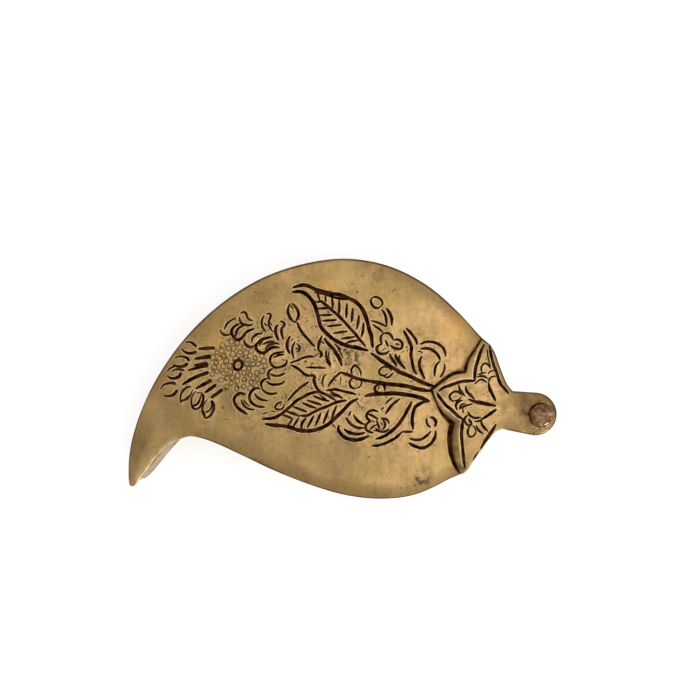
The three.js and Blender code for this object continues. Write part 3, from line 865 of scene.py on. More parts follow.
middle_sprays = [
    (3, 289.9, 336.2, 288, 339.7, 287, 343.5, 287, 347.3, 288, 350.5, 289.6, 353.4),
    (2, 295, 341.9, 293.1, 344.8, 292.1, 348.6, 292.4, 353.1, 293.7, 358.2),
    (2.2, 289.9, 362.9, 293.4, 361.7, 297.9, 360.4, 301.7, 358.2, 305.5, 357.2, 310, 356.3, 314.4, 356.9),
    (2.5, 290.8, 365.2, 294.7, 366.8, 298.5, 369, 301.7, 371.9, 304.9, 374.4, 308.7, 375.7, 312.5, 375.4,
     314.8, 376.7, 313.8, 379.2, 313.8, 381.1, 314.8, 384.3, 316.4, 387.5, 318.9, 390.7, 321.5, 392.6,
     325.9, 394.5, 330.4, 397.1, 335.5, 400.3),
    (2, 305.8, 367.4, 311.9, 367.4, 318.3, 367.7, 325.9, 368),
    (3.1, 321.8, 336.2, 320.2, 339.7, 318.9, 343.5, 318.3, 347.3, 318.3, 350.5),
    (3.5, 319.2, 350.4, 321.2, 352.5, 321.3, 355.6, 319.9, 357.2),
    (2.2, 321.5, 341.6, 324, 343.5),
    (1.1, 337.5, 348.5, 341, 353.5, 343, 358.5), (1.2, 318.9, 394.2, 322.5, 396.8, 326, 399),
    (1.3, 329.3, 393.6, 332.5, 395.2, 335.6, 397), (0.9, 340.6, 376.5, 340.6, 381.8),
    (1.2, 357.3, 402.2, 359, 405.6), (1.2, 332.8, 424, 335.4, 428.2),
    (3.3, 324, 338.4, 327.2, 342.5, 331, 346.7, 334.2, 349.9, 336.1, 353.7, 338.7, 357.5, 340.3, 361.4,
     341.7, 365.8),
    (2, 334.8, 344.1, 338, 347, 340.6, 349.9),
    (2.4, 326.2, 350.5, 325.9, 354.3, 326.6, 358.2, 327.8, 362.6, 330.4, 366.1),
    (1.2, 329.3, 351.2, 328.5, 355, 329.4, 359.4),
    (1.4, 328.5, 359.4, 331, 364.5),
    (1.6, 323.4, 386.9, 322.4, 383.7, 322.7, 379.8, 324, 376, 325.9, 374.1),
    (2.4, 326.2, 390.4, 331, 389.8, 335.5, 389.4, 341.2, 390.7, 346.3, 392, 350.8, 392.9, 356.3, 394.6),
    (2, 360.9, 375.3, 360.7, 372.2, 359.1, 369, 356.5, 365.8, 355.3, 364.9, 352.7, 367.1, 351.1, 370.3,
     352.1, 374.1),
    (2.2, 353.3, 377.9, 350.2, 380.5, 349.5, 384, 351.6, 387.6, 355.3, 388.4),
    (1.5, 355.3, 388.2, 359.1, 387, 361.4, 384, 361, 380.5),
    (1.3, 296.5, 343.5, 299.3, 346, 298.5, 350.5), (1.2, 296, 352, 299.5, 350.5, 300.5, 346.5),
    (1.2, 291, 341, 293, 338.5),
]
stems = [
    (3.6, 370.7, 353.1, 374.2, 355.4, 378.8, 358.9, 383.9, 362.3, 389.7, 365.8, 394.9, 369.2, 399.7, 372.2,
     405.1, 374.3, 411.6, 377, 417, 379.8, 422.5, 382.5, 427.9, 384.6, 433.3, 385.9),
    (2.4, 328.1, 386.2, 330.4, 382.7, 333.6, 378.6, 336.8, 375.4, 340.6, 372.5, 342.2, 372.4),
    (3, 341.5, 372.7, 346.3, 374.1, 350.2, 375.7, 355.3, 377.9, 362.3, 379.8, 369.3, 381.1, 375.7, 382.1),
    (4, 368, 380.9, 375.7, 382.1, 386.7, 384, 397.5, 384.9, 408.4, 386.5, 413.8, 388.2, 424.6, 390.3,
     430.2, 390.9),
    (4, 365, 396.2, 368.3, 395.2, 373.1, 394.4, 380.2, 393.8, 386.7, 393.6, 393.2, 393.3, 399.7, 393.8,
     406.2, 394.7, 412.7, 395.7, 418.1, 397.1, 423.5, 398.7, 428.6, 400.6),
]
small_flowers = [
    (2.6, 383.9, 333.3, 388, 333.1, 390.3, 334.5, 392, 337.1, 392.8, 339.4),
    (2.5, 383.4, 333.6, 381.1, 335.9, 380.5, 339.4, 381.1, 342.2, 382.2, 344.2),
    (2.5, 382.2, 344.2, 378.8, 345.1, 376.8, 347.4, 376.8, 350.3, 378.8, 353.1, 382.8, 354, 386.2, 353.1,
     389.1, 350.9),
    (2.5, 385.4, 340.2, 386.8, 343.4, 388.2, 346.3),
    (1.2, 382.2, 350.6, 385.1, 348.3),
    (2.5, 393.7, 340.2, 396.6, 339.4, 399.4, 340.2, 401.7, 342.2, 402.3, 345.7, 401.5, 348, 398.3, 349.1,
     394.9, 348.3, 392, 346.8, 390.3, 345.1),
    (2, 395.5, 343.8, 399.4, 344.5),
    (2.9, 389.9, 353.9, 390.5, 356, 392, 358.9, 394.3, 362.3, 396.9, 366.1),
    (3.6, 395.2, 354.3, 396, 357, 397.7, 359.5, 400.6, 363.5, 405.2, 368.6),
    (2, 399.6, 354.9, 399.2, 358.9),
    (1.8, 391.5, 370.6, 389.4, 367.7, 385.8, 366.8, 382, 367.4, 379.5, 370, 379, 373.2, 381.3, 375.1,
     384.5, 375.4, 387.8, 373.8),
    (1.9, 383.4, 376.2, 386.7, 377.6, 389.9, 376.2, 393.2, 372.4),
    (2.9, 378.6, 384.6, 375.6, 386.2, 374.6, 388.8, 375.4, 391.2, 378.2, 391.9),
    (1.6, 379.3, 386.4, 377.9, 389.6),
    (3.1, 382.3, 383.6, 384.4, 386.4, 384.8, 390.2),
    (2.4, 378, 411.7, 374.8, 410.4, 371, 410.4, 367.7, 412.3, 366.4, 415, 367.2, 418.2, 370.1, 421.3,
     367.7, 422.8, 366.1, 424.7, 365.5, 427.5, 366.6, 430.2, 369.3, 431.8, 373.1, 432.9),
    (2.3, 368.3, 414.2, 372, 415.5, 374.8, 417.2, 378, 419.3),
    (2, 369.6, 429.6, 372.6, 426.9, 376.1, 424.7),
    (2.2, 376.4, 420.4, 377.7, 423.7, 379.4, 429.1), (1.6, 372, 421.4, 374.4, 421.8),
    (1.6, 373.6, 430.4, 377, 431.2),
    (1.8, 380.7, 422.6, 382.3, 425),
    (2.4, 381, 418, 383.4, 418.5, 386.1, 419.1, 388.3, 421.5, 388.8, 423.8),
    (2.3, 382.3, 419.1, 384.2, 421.5, 385.1, 424.2, 384, 428, 382.1, 429.6),
    (2.2, 375.6, 428, 377.5, 430.2, 380.2, 431.5, 383.4, 431.8, 386.7, 430.7, 389.1, 428.8),
    (1.8, 392.4, 397.4, 388.8, 400.4, 385.1, 404.1), (1.8, 383.7, 407.4, 381, 409.8),
    (2.6, 399.7, 398.7, 395.4, 402, 391.6, 405.2, 388.3, 409.6, 385.3, 413.9),
]
tendrils = [
    (3.5, 338.7, 425.3, 338.2, 429, 340.1, 433.2, 343.8, 436.9, 349.3, 439.2, 355.8, 440.1, 362.3, 438.7,
     368.6, 435.9),
    (3, 344.2, 429, 347.5, 431.8, 353, 433.6, 358.6, 434.1, 364.6, 432.7),
    (2.7, 346.1, 417.5, 348.4, 421.6, 352.1, 425.3, 357.6, 427.8, 363.7, 427.9),
    (2.6, 353.5, 415.1, 355.8, 418.8, 359.5, 422.1, 364.2, 424.4),
    (2.3, 350.7, 411, 348.9, 415.6),
    (3.2, 411.6, 401.4, 409.4, 406.3, 407.3, 410.1, 405.1, 414.4, 401.9, 419.3, 398.6, 424.2, 394.3, 428.5,
     389.9, 432.3, 385.1, 435.6, 380.2, 437.8, 375.6, 438.9),
    (2.3, 412.7, 431.8, 408.4, 431.8, 404.6, 431.8, 401.9, 431.8),
    (2.7, 402, 431.8, 400.2, 433.4, 397.5, 436.1, 394.3, 438.6, 389.9, 441, 385.6, 443.2, 381.3, 444.5,
     377.5, 445.6, 372, 445.8),
    (3.2, 429.5, 401.2, 423.5, 402, 419.2, 404.1, 415.4, 406.9, 413.5, 411.2, 412.4, 416.1, 412.2, 420.4,
     412.4, 424.7, 413.2, 429.1),
    (3, 430, 417.2, 432.8, 417.7, 434.9, 419.9, 436, 422, 434.9, 426.4),
    (2.4, 426.5, 418.2, 426.5, 422, 427.9, 425.3, 430.6, 427.2),
    (2.7, 430.6, 431.2, 427.9, 434.5, 424.6, 437.2, 421.4, 439.1, 417, 439.9, 412.7, 439.4, 409.4, 438.3),
    (3, 435.5, 431.2, 435.5, 435, 433.8, 439.4, 430.6, 443.7, 426.8, 446.4, 421.9, 448, 417, 447,
     412.7, 445.3, 408.9, 442.9),
    (3, 403.5, 330.2, 405.2, 333.6, 407.5, 337.6, 409.8, 342.8, 411.5, 347.4, 411.2, 350.9, 410.9, 355.4,
     411.5, 358.9, 412.6, 364.6, 413.8, 369.8, 416.7, 374.4),
    (2.7, 406.3, 328.2, 409.8, 331.9, 413.2, 335.9, 416.1, 340.5, 417, 344.5),
    (2.4, 420.7, 344.2, 424.7, 342.2, 429.9, 341.7, 434.5, 342.5, 439.1, 344.5, 442.5, 347.4, 444.8, 351.4,
     445.7, 356),
    (2.8, 420.7, 348.8, 425.9, 348.3, 430.4, 349.1, 435, 352, 438.5, 356, 440, 359.7),
    (1.3, 417.8, 351.1, 421.5, 352, 422.4, 353.7),
    (3, 421.8, 356, 420.1, 359.5, 419.2, 364, 420.1, 368.6, 422.4, 374.4, 424.8, 378.7),
    (2.3, 439.9, 361.2, 436.8, 364, 435.3, 367.5, 434.7, 370.4, 434.5, 376.2),
    (1.9, 444.5, 364, 444.5, 368.1, 443.4, 372.1, 440, 377.3),
]
punch_rings = [
    (222.2, 345), (231.2, 341.5), (237, 343), (228.5, 348.5), (244, 347), (251, 350.5), (216.8, 352.5),
    (223.5, 356.5), (232.5, 353.8), (240, 352.5), (246, 353), (212.5, 357.5), (216, 362.5), (226, 361),
    (248, 360), (255, 358), (261.5, 355.5), (258, 364), (248.5, 368), (263.5, 361), (265, 366), (217, 371.5),
    (223, 366.5), (230, 372), (227, 378), (237.5, 375.5), (244, 373), (250, 375), (256.5, 373), (262, 371),
    (220.5, 380), (226, 387), (231, 383), (237, 381), (244, 379.5), (251, 382), (257, 379), (236.5, 388.5),
    (243.5, 386.5), (250, 388), (219, 358), (229.5, 366), (235.5, 358.5), (242, 358.5), (253, 364),
    (214, 367.5), (233, 348.5), (239.5, 347.5), (221.5, 351), (256, 386), (223, 373), (246.5, 364),
    (212, 374), (232, 377.5),
]
ring_oval_share = 0.08
ring_swing_share = 0.1
ring_swing_turn = 7
ring_dark_waver = [(0.7, 2.3, 9)]

# Each kind of ring: its radius, its groove's width and depth, how dark it is, its steps and its burr
punched_ring = (0.84, 0.4, 0.17, 0.5, 16, 0.5)
deepened_ring = (1.7, 0.95, 0.35, 1.2, 24, 1.0)
pit_ring = (0.12, 0.26, 0.12, 0.55, 6, 0.0)
ring_dot_reach = 0.95
ring_dot_length = 0.3
ring_dot_width = 0.3
ring_dot_depth = 0.17
ring_dot_dark = 0.8
ring_dot_turn = 3
golden_turn = 2.4
pits_px = [
    (267, 302.2), (258.4, 317.2), (255.2, 292.3), (357.1, 292.6), (352, 284.3), (363.1, 276.4),
    (374.3, 272.6), (394.4, 289.8), (370.8, 315.6), (303.8, 307.6), (328.7, 312.4), (307, 320.7),
    (289.9, 325.2), (222.7, 408.3), (227.4, 419.6), (248, 419.1), (136.5, 457.2), (417, 478), (400.6, 488),
    (369, 457), (346.5, 353), (347, 371), (298, 346.5), (299.5, 349), (297, 348.5), (233, 361), (241, 369.5),
    (229, 369), (250, 371), (225, 353.5),
]
middle_ring_px = (237.9, 365)
nick_count = 13
nick_start = 1.75
nick_reach = 0.65
nick_swing_share = 0.5
nick_swing_turn = 5
nick_width = 0.4


class Cut:
    """One groove: its middle line, its half width and depth along it, how dark it is, and its burr."""

    def __init__(self, line, width, depth=None, dark=1.0, burr=1.0, closed=False, shares=plain_cut_shares):
        run = run_along(line)
        at_start, at_end, swell = shares
        reach = taper_reach * width
        into = np.clip(run / np.maximum(reach, swell * run[-1]), 0, 1) ** taper_power
        out = np.clip((run[-1] - run) / reach, 0, 1) ** taper_power
        taper = np.minimum(at_start + (1 - at_start) * into, at_end + (1 - at_end) * out)
        taper = np.ones(len(line)) if closed else taper
        full = min(cut_depth_share * width, deepest_cut) if depth is None else depth
        self.line = line
        self.closed = closed
        self.half = width / 2 * taper * waver(line, width_waver, 1.0) + cut_shoulder
        self.depth = full * taper * waver(line, depth_waver, 1.0)
        self.dark = dark
        self.burr = burr

    def rows(self):
        """Lines of points round the groove, from its middle to clear of its burr, and if each closes."""
        ways = np.gradient(self.line, axis=0)
        if self.closed:
            ways[0] = ways[-1] = self.line[1] - self.line[-2]
        ways = unit(ways)
        across = to_left(ways)
        for share, past in cut_rows:
            away = self.half * share + past
            if share == 0:
                yield (self.line[:-1], True) if self.closed else (self.line, False)
                continue
            left = self.line + across * away[:, None]
            right = self.line - across * away[:, None]
            if self.closed:
                yield left[:-1], True
                yield right[:-1], True
                continue
            front = self.line[-1] + ways[-1] * away[-1]
            rear = self.line[0] - ways[0] * away[0]
            loop = np.vstack([left, front, right[::-1], rear])
            own = np.r_[away, away[-1], away[::-1], away[0]]
            yield loop[gap_to(loop, self.line) > unfolded_share * own], True


def on_top(x, y):
    """The place on the lid's raised top that shows at a pixel of the photograph."""
    middle = np.array(at_pixel(photo_side_px / 2, photo_side_px / 2))
    return middle + (np.array(at_pixel(x, y)) - middle) * (1 - engraved_height / camera_distance)


def smooth_on_top(places, step):
    """A smooth line on the lid's top through pixels, given as one row of numbers."""
    return smooth_through([on_top(*place) for place in zip(places[::2], places[1::2])], step)


def near_spot(points, x, y, radius):
    """How near points are to a pixel: one right at it, fading out round it over about a radius."""
    return np.exp(-(np.hypot(*(points - on_top(x, y)).T) / radius) ** 2)


def graver_cut(entry, shares=plain_cut_shares):
    """A cut made with a graver, from its width and the pixels that it passes through."""
    width_px, *places = entry
    return Cut(smooth_on_top(places, cut_step), width_px * mm_per_px, shares=shares)


def ring_cut(middle_px, kind):
    """A ring struck with a punch, never quite round."""
    radius, width, depth, dark, steps, burr = kind
    angles = np.linspace(0, 2 * math.pi, steps + 1)
    middle = on_top(*middle_px)
    oval = 1 + ring_oval_share * np.sin(angles * 2 + middle_px[0])
    oval += ring_swing_share * math.sin(ring_swing_turn * middle_px[1])
    line = middle + radius * oval[:, None] * ways_at(angles)
    return Cut(line, width, depth, dark * waver(middle[None], ring_dark_waver, 1.0)[0], burr, closed=True)


def ring_dot(middle_px, turn):
    """The small dark mark that the ragged rim of the ring punch leaves beside a ring."""
    away = ring_dot_reach * np.array([math.cos(golden_turn * turn), math.sin(golden_turn * turn)])
    middle = on_top(*middle_px) + away
    way = np.array([math.sin(ring_dot_turn * turn), math.cos(ring_dot_turn * turn)])
    way *= ring_dot_length / 2
    line = np.array([middle - way, middle, middle + way])
    return Cut(line, ring_dot_width, ring_dot_depth, ring_dot_dark, burr=0.0)


def ring_nicks(middle):
    """The short nicks round the flower's middle ring, left by the chisel that deepened it."""
    nicks = []
    for turn in np.linspace(0, 2 * math.pi, nick_count, endpoint=False):
        way = np.array([math.cos(turn), math.sin(turn)])
        reach = nick_reach * (1 + nick_swing_share * math.sin(nick_swing_turn * turn + 1))
        steps = np.array([[nick_start], [nick_start + reach / 2], [nick_start + reach]])
        nicks.append(Cut(middle + way * steps, nick_width))
    return nicks


def both_ends(values):
    """The values at the start and at the end of each stretch of a line."""
    return np.column_stack([values[:-1], values[1:]])


def along_stretch(ends, share):
    """Values at shares of stretches, from those at the stretches' ends."""
    return ends[:, 0] + share * (ends[:, 1] - ends[:, 0])


class Engraving:
    """Many cuts together, ready to be measured at any points."""

    def __init__(self, cuts):
        self.cuts = cuts
        self.start = np.vstack([cut.line[:-1] for cut in cuts])
        self.run = np.vstack([np.diff(cut.line, axis=0) for cut in cuts])
        self.half = np.vstack([both_ends(cut.half) for cut in cuts])
        self.depth = np.vstack([both_ends(cut.depth) for cut in cuts])
        self.dark = np.concatenate([np.full(len(cut.line) - 1, cut.dark) for cut in cuts])
        self.burr = np.concatenate([np.full(len(cut.line) - 1, cut.burr) for cut in cuts])

    def at(self, points):
        """How high the cuts leave the surface, how dark, how far off they are, and how fresh their burrs."""
        found = np.tile((0.0, 0.0, look_reach, 0.0), (len(points), 1))
        cells = np.floor(points / look_cell).astype(int)
        reach = look_cell * look_corner_share + look_reach + cut_step
        for cell in np.unique(cells, axis=0):
            middle = (cell + 0.5) * look_cell
            near = np.hypot(*(self.start - middle).T) < reach
            if near.any():
                here = (cells == cell).all(1)
                found[here] = self.at_few(points[here], near)
        return found.T

    def at_few(self, points, near):
        """The same for points that have only the near cuts beside them."""
        share, gap = nearest_on(points, self.start[near], self.run[near])
        half = along_stretch(self.half[near], share)
        depth = along_stretch(self.depth[near], share)
        sunk = (depth * (1 - np.clip(gap / half, 0, 1) ** groove_roundness)).max(1)
        edge = gap - half
        fresh = self.burr[near][edge.argmin(1)] * np.exp(-((edge.min(1) - burr_reach) / burr_reach) ** 2)
        fresh *= np.clip(waver(points, burr_waver, burr_level_share), least_burr_share, 1)
        inner = np.clip(-edge / cut_shoulder - black_start_share, 0, None)
        dark = (self.dark[near] * np.clip(inner / black_spread_share, 0, 1)).max(1)
        burr = burr_height * fresh * (sunk < least_gap)
        return np.column_stack([burr - sunk, dark, np.minimum(edge.min(1), look_reach), fresh])


def depth_inside(points, ring):
    """How far points lie inside a closed outline, negative outside it."""
    found = []
    ends = np.roll(ring, -1, axis=0)
    run = ends - ring
    slope = run[:, 0] / np.where(run[:, 1] == 0, least_rise, run[:, 1])
    for some in np.array_split(points, len(points) // block_points + 1):
        gap = nearest_on(some, ring, run)[1].min(1)
        y = some[:, 1:2]
        spans = (ring[:, 1] > y) != (ends[:, 1] > y)
        left = some[:, :1] < ring[:, 0] + (y - ring[:, 1]) * slope
        inside = (spans & left).sum(1) % 2 == 1
        found.append(np.where(inside, gap, -gap))
    return np.concatenate(found)


lid_ring = np.vstack([
    joined(lid_lower, stem_side(lid_lower[-1], -1))[:-1],
    joined(lid_upper, stem_side(lid_upper[-1], 1))[::-1],
])


def lid_top(points):
    """The height of the lid's smooth top: it rolls down to the edge and drops a little along the stem."""
    share = np.clip(depth_inside(points, lid_ring) / lid_roll_width, 0, 1)
    start = neck_middle[0] + stem_drop_start
    along = np.clip((points[:, 0] - start) / stem_drop_length, 0, 1)
    drop = stem_drop * along ** 2 * (3 - 2 * along)
    return lid_level + lid_edge_thickness + lid_crown * (1 - (1 - share) ** 2) - drop


def moved_in(ring, distance):
    """A closed outline, anticlockwise, moved inwards."""
    wrapped = np.vstack([ring[-1:], ring, ring[:1]])
    spread = np.broadcast_to(distance, len(ring))
    return moved_left(wrapped, np.r_[spread[-1], spread, spread[0]])[1:-1]


def loop_edges(count, first):
    """The edges of a closed loop of points, the first of which has a given number."""
    return [(first + i, first + (i + 1) % count) for i in range(count)]


def triangles_between(ring, hole, points, edges):
    """Triangles over points inside a ring and outside a hole, and where ring, hole and points went."""
    hole = np.zeros((0, 2)) if hole is None else hole
    all_points = np.vstack([ring, hole, points])
    shift = len(ring) + len(hole)
    kept_edges = loop_edges(len(ring), 0) + loop_edges(len(hole), len(ring))
    kept_edges += [(a + shift, b + shift) for a, b in edges]
    made = geometry.delaunay_2d_cdt([Vector(p) for p in all_points], kept_edges, [], 0, least_gap / 2)
    flat = np.array([tuple(p) for p in made[0]])
    faces = np.array([list(face) for face in made[2]])
    middles = flat[faces].mean(axis=1)
    inside = depth_inside(middles, ring) > 0
    if len(hole):
        inside &= depth_inside(middles, hole) < 0
    faces = faces[inside]
    a, b, c = flat[faces[:, 0]], flat[faces[:, 1]], flat[faces[:, 2]]
    turned = (b[:, 0] - a[:, 0]) * (c[:, 1] - a[:, 1]) < (b[:, 1] - a[:, 1]) * (c[:, 0] - a[:, 0])
    faces[turned] = faces[turned][:, ::-1]
    home = np.full(len(all_points), -1)
    for index, origins in enumerate(made[3]):
        for origin in origins:
            home[origin] = index
    return flat, faces, home[:len(ring)], home[len(ring):shift]


def fill_points(ring, step, cuts=None, hole=None):
    """An even scatter of points inside a ring, clear of its edge, of its hole and of all cuts."""
    low, high = ring.min(0), ring.max(0)
    xs = np.arange(low[0], high[0], step)
    ys = np.arange(low[1], high[1], step * math.sqrt(3) / 2)
    grid = np.array([(x + step / 2 * (j % 2), y) for j, y in enumerate(ys) for x in xs])
    grid = grid[depth_inside(grid, ring) > step / 2]
    if hole is not None:
        grid = grid[depth_inside(grid, hole) < -step / 2]
    if cuts is not None:
        grid = grid[cuts.at(grid)[2] > fill_clearance + fill_clearance_share * step]
    return grid


def cut_points(cuts, ring, margin, hole=None):
    """The points of all rows of all cuts that lie well inside a ring, and the edges between them."""
    points = []
    edges = []
    for cut in cuts:
        for row, closed in cut.rows():
            keep = depth_inside(row, ring) > margin
            if hole is not None:
                keep &= depth_inside(row, hole) < -margin
            count = len(row)
            places = np.cumsum(keep) - 1 + len(points)
            points += list(row[keep])
            for i in range(count if closed else count - 1):
                j = (i + 1) % count
                if keep[i] and keep[j] and places[i] != places[j]:
                    edges.append((places[i], places[j]))
    return np.array(points), edges


def slab(name, material, top_part, outer_rows, hole_rows, underside_part):
    """A closed piece from its meshed top and underside and the rows of points down its sides."""
    top, top_faces, top_ring, top_hole = top_part
    under, under_faces, under_ring, under_hole = underside_part
    points = [top]
    faces = top_faces.tolist()
    count = len(top)

    def side(first, rows, last):
        nonlocal count
        rings = [first]
        for row in rows:
            points.append(row)
            rings.append(np.arange(count, count + len(row)))
            count += len(row)
        rings.append(last)
        for upper, lower in zip(rings, rings[1:]):
            for i, j in loop_edges(len(upper), 0):
                faces.append((upper[i], lower[i], lower[j], upper[j]))

    points.append(under)
    shift = count
    count += len(under)
    faces += [tuple(face[::-1] + shift) for face in under_faces]
    side(top_ring, outer_rows, under_ring + shift)
    if hole_rows is not None:
        side(top_hole, hole_rows, under_hole + shift)
    mesh = bpy.data.meshes.new(name)
    mesh.from_pydata((np.vstack(points) * metre).tolist(), [], [tuple(map(int, face)) for face in faces])
    made = bmesh.new()
    made.from_mesh(mesh)
    bmesh.ops.holes_fill(made, edges=[edge for edge in made.edges if edge.is_boundary], sides=4)
    bmesh.ops.recalc_face_normals(made, faces=made.faces)
    made.to_mesh(mesh)
    made.free()
    mesh.shade_smooth()
    mesh.materials.append(material)
    return placed(name, mesh)


def painted(piece, name, values):
    """A value kept at each of a piece's points, for its material to read."""
    attribute = piece.data.attributes.new(name, "FLOAT", "POINT")
    attribute.data.foreach_set("value", np.ascontiguousarray(values, dtype=np.float32))


def rounded_edge(ring, rounding, top, foot, foot_rounding):
    """Rows down a slab's side, from its rounded upper edge to its rounded lower one."""
    rows = []
    for turn in np.linspace(0, math.pi / 2, rounding_steps + 1)[1:]:
        edge = moved_in(ring, rounding * (1 - math.sin(turn)))
        rows.append(at_height(edge, top - rounding * (1 - math.cos(turn))))
    for turn in np.linspace(0, math.pi / 2, rounding_steps)[:-1]:
        edge = moved_in(ring, foot_rounding * (1 - math.cos(turn)))
        rows.append(at_height(edge, foot + foot_rounding * (1 - math.sin(turn))))
    return rows


def heights(points, rise, engraving):
    """The height of an engraved top at points: its smooth form, its hammered unevenness and its cuts."""
    return lid_top(points) + rise(points) + waver(points, hammered_waver) + engraving.at(points)[0]


def meshed_top(ring, hole, engraving, rise):
    """The engraved top of a piece inside a ring and round a hole, meshed finely by the calyx's foot."""
    cuts, edges = cut_points(engraving.cuts, ring, ring_margin, hole)
    fill = fill_points(ring, fill_step, engraving, hole)
    fine = fill_points(ring, fine_fill_step, engraving, hole)
    fill = np.vstack([fill[gap_to(fill, leading_edge) > fine_fill_reach],
                      fine[gap_to(fine, leading_edge) < fine_fill_reach]])
    flat, faces, on_ring, on_hole = triangles_between(ring, hole, np.vstack([cuts, fill]), edges)
    return at_height(flat, heights(flat, rise, engraving)), faces, on_ring, on_hole


def near_ridges(plan, ridges):
    """How near points are to the ridges beside some cuts, along which highlights are painted."""
    share = np.zeros(len(plan))
    for places in ridges:
        gap = gap_to(plan, smooth_on_top(places, cut_step))
        share = np.maximum(share, np.exp(-(gap / ridge_width) ** 2))
    return share * np.clip(waver(plan, ridge_waver, ridge_level_share), 0, 1)


def patina(piece, ring, engraving, soot, patches, ridges):
    """Values for the finish: cut black, fresh burrs, tarnish, patches, and painted shade and highlights."""
    spots = np.empty(len(piece.data.vertices) * 3)
    piece.data.vertices.foreach_get("co", spots)
    spots = spots.reshape(-1, 3) / metre
    plan = spots[:, :2]
    top = np.clip((spots[:, 2] - lid_level - finish_start) / finish_fade, 0, 1)
    _, dark, edge, fresh = engraving.at(plan)
    painted(piece, "worked", np.clip(1 - edge / look_reach, 0, 1) * top)
    painted(piece, "cut", dark * top)
    painted(piece, "fresh", fresh * top)
    # Brown film that is partly patina and partly painted shade
    painted(piece, "soot", soot(plan) * top)
    painted(piece, "ridge", near_ridges(plan, ridges) * top)
    # The rim value is painted shade along the edge, wider on the upper side and left off along the lit hook
    upper = np.clip(plan[:, 1] / upper_rim_reach, 0, 1)
    spread = rim_width * waver(plan, rim_waver, 1 + upper_rim_share * upper)
    rim = 1 - np.clip(depth_inside(plan, lid_ring) / spread, 0, 1)
    painted(piece, "rim", rim * np.clip(gap_to(plan, hook_line) / hook_bevel_fade - 1, 0, 1))
    near_edge = np.clip(edge_patch_level - depth_inside(plan, ring) / edge_patch_width, 0, 1)
    for name, places in patches.items():
        value = sum((near_spot(plan, *place) for place in places), np.zeros(len(plan)))
        value = np.clip(value, 0, patch_limit) * top
        painted(piece, name, value * near_edge if name in edge_patches else value)


def engraved_brass():
    """Hand-polished brass: mottled, streaked by polishing, pitted, and black or brown where it is cut."""
    material, shader, add, feed = finish("engraved_brass")
    where = add("TexCoord").outputs["Object"]
    on = {name: add("Attribute", {"attribute_name": name}).outputs["Fac"] for name in lid_values}
    for name, (size, detail, low, high) in lid_clouds.items():
        on[name] = between(add, blotches(add, where, size, detail), low, high)
    streaks = blotches(add, where, *polishing_streaks)
    grain = blotches(add, where, *lid_grain)
    waves = blotches(add, where, *lid_waves)
    cells = add("TexVoronoi", inputs={"Vector": where, "Scale": 1 / (pit_spacing * metre)})
    on["pit"] = between(add, cells.outputs["Distance"], *pit_fade)
    # The rim's painted shade is laid on as brown film, but not over the painted edge highlights
    rim_shade = product(add, between(add, on["rim"], *rim_shade_fade), between(add, on["filed"], *highlight_clears_rim_shade))
    stippled = total(add, between(add, on["stipple"], *stipple_darkens),
                     product(add, on["worked"], worked_speck_share))

    def some(name):
        return product(add, on[name], layer_shares[name])

    layers = [
        (some("dull"), olive),
        (some("mottle"), tarnish_and_shade),
        (between(add, on["spots"], *spots_tarnish), tarnish_and_shade),
        (between(add, streaks, *streaks_tarnish), tarnish_and_shade),
        # The rim's painted shade, laid on as tarnish colour
        (some("rim"), tarnish_and_shade),
        (rim_shade, brown_film_and_shade),
        (some("warm"), reddened),
        (product(add, on["flaw"], between(add, on["mottle"], *mottle_breaks)), solder_grey),
        (some("pit"), rubbed_black),
        (product(add, on["specks"], stippled), brown_film_and_shade),
        # Brown film: patina, and painted shade by the calyx and on it
        (on["soot"], brown_film_and_shade),
        # Darker along part of the lower left edge
        (some("grimed"), brown_film_and_shade),
        (some("fresh"), bright_brass_and_highlight),
        # A painted sheen of light
        (some("pale"), painted_sheen_colour),
        # Painted highlights along the border ridges
        (some("ridge"), bright_brass_and_highlight),
        # Painted highlights on edges that face the light
        (some("filed"), bright_brass_and_highlight),
        (on["cut"], mixed(add, on["dirt"], rubbed_black, rubbed_brown)),
    ]
    colour = mixed(add, on["patches"], mixed(add, on["hue"], polished, rosy),
                   mixed(add, on["hue"], clouded, yellowed))
    for share, laid in layers:
        colour = mixed(add, share, colour, laid)
    feed(shader.inputs["Base Color"], colour)
    shader.inputs["Metallic"].default_value = 1.0
    rough = total(add, product(add, on["spots"], spots_roughness), product(add, on["cut"], cut_roughness))
    rough = total(add, rough, between(add, streaks, *streaks_roughen))
    feed(shader.inputs["Roughness"], total(add, rough, lid_roughness))
    feed(shader.inputs["Normal"], raised(add, [
        (waves, lid_wave_height), (streaks, streak_height), (grain, grain_height), (on["pit"], pit_height),
        (product(add, on["specks"], on["stipple"]), stipple_height),
        (product(add, on["mottle"], on["worked"]), worked_height)]))
    return material


hammered_waver = [(0.08, 19, 1), (0.03, 6, 2)]

# Where the finish starts above the underside, and how wide its painted rim shade, its painted ridge
# highlights and its painted edge highlights are
finish_start = 0.6
finish_fade = 0.6
rim_width = 3.0
rim_waver = [(0.3, 12, 4)]
upper_rim_share = 0.7
upper_rim_reach = 20.0
ridge_width = 0.25
ridge_waver = [(0.7, 1.6, 21)]
ridge_level_share = 0.7
edge_patches = ("filed", "grimed")
edge_patch_level = 1.3
edge_patch_width = 0.8
patch_limit = 1.3

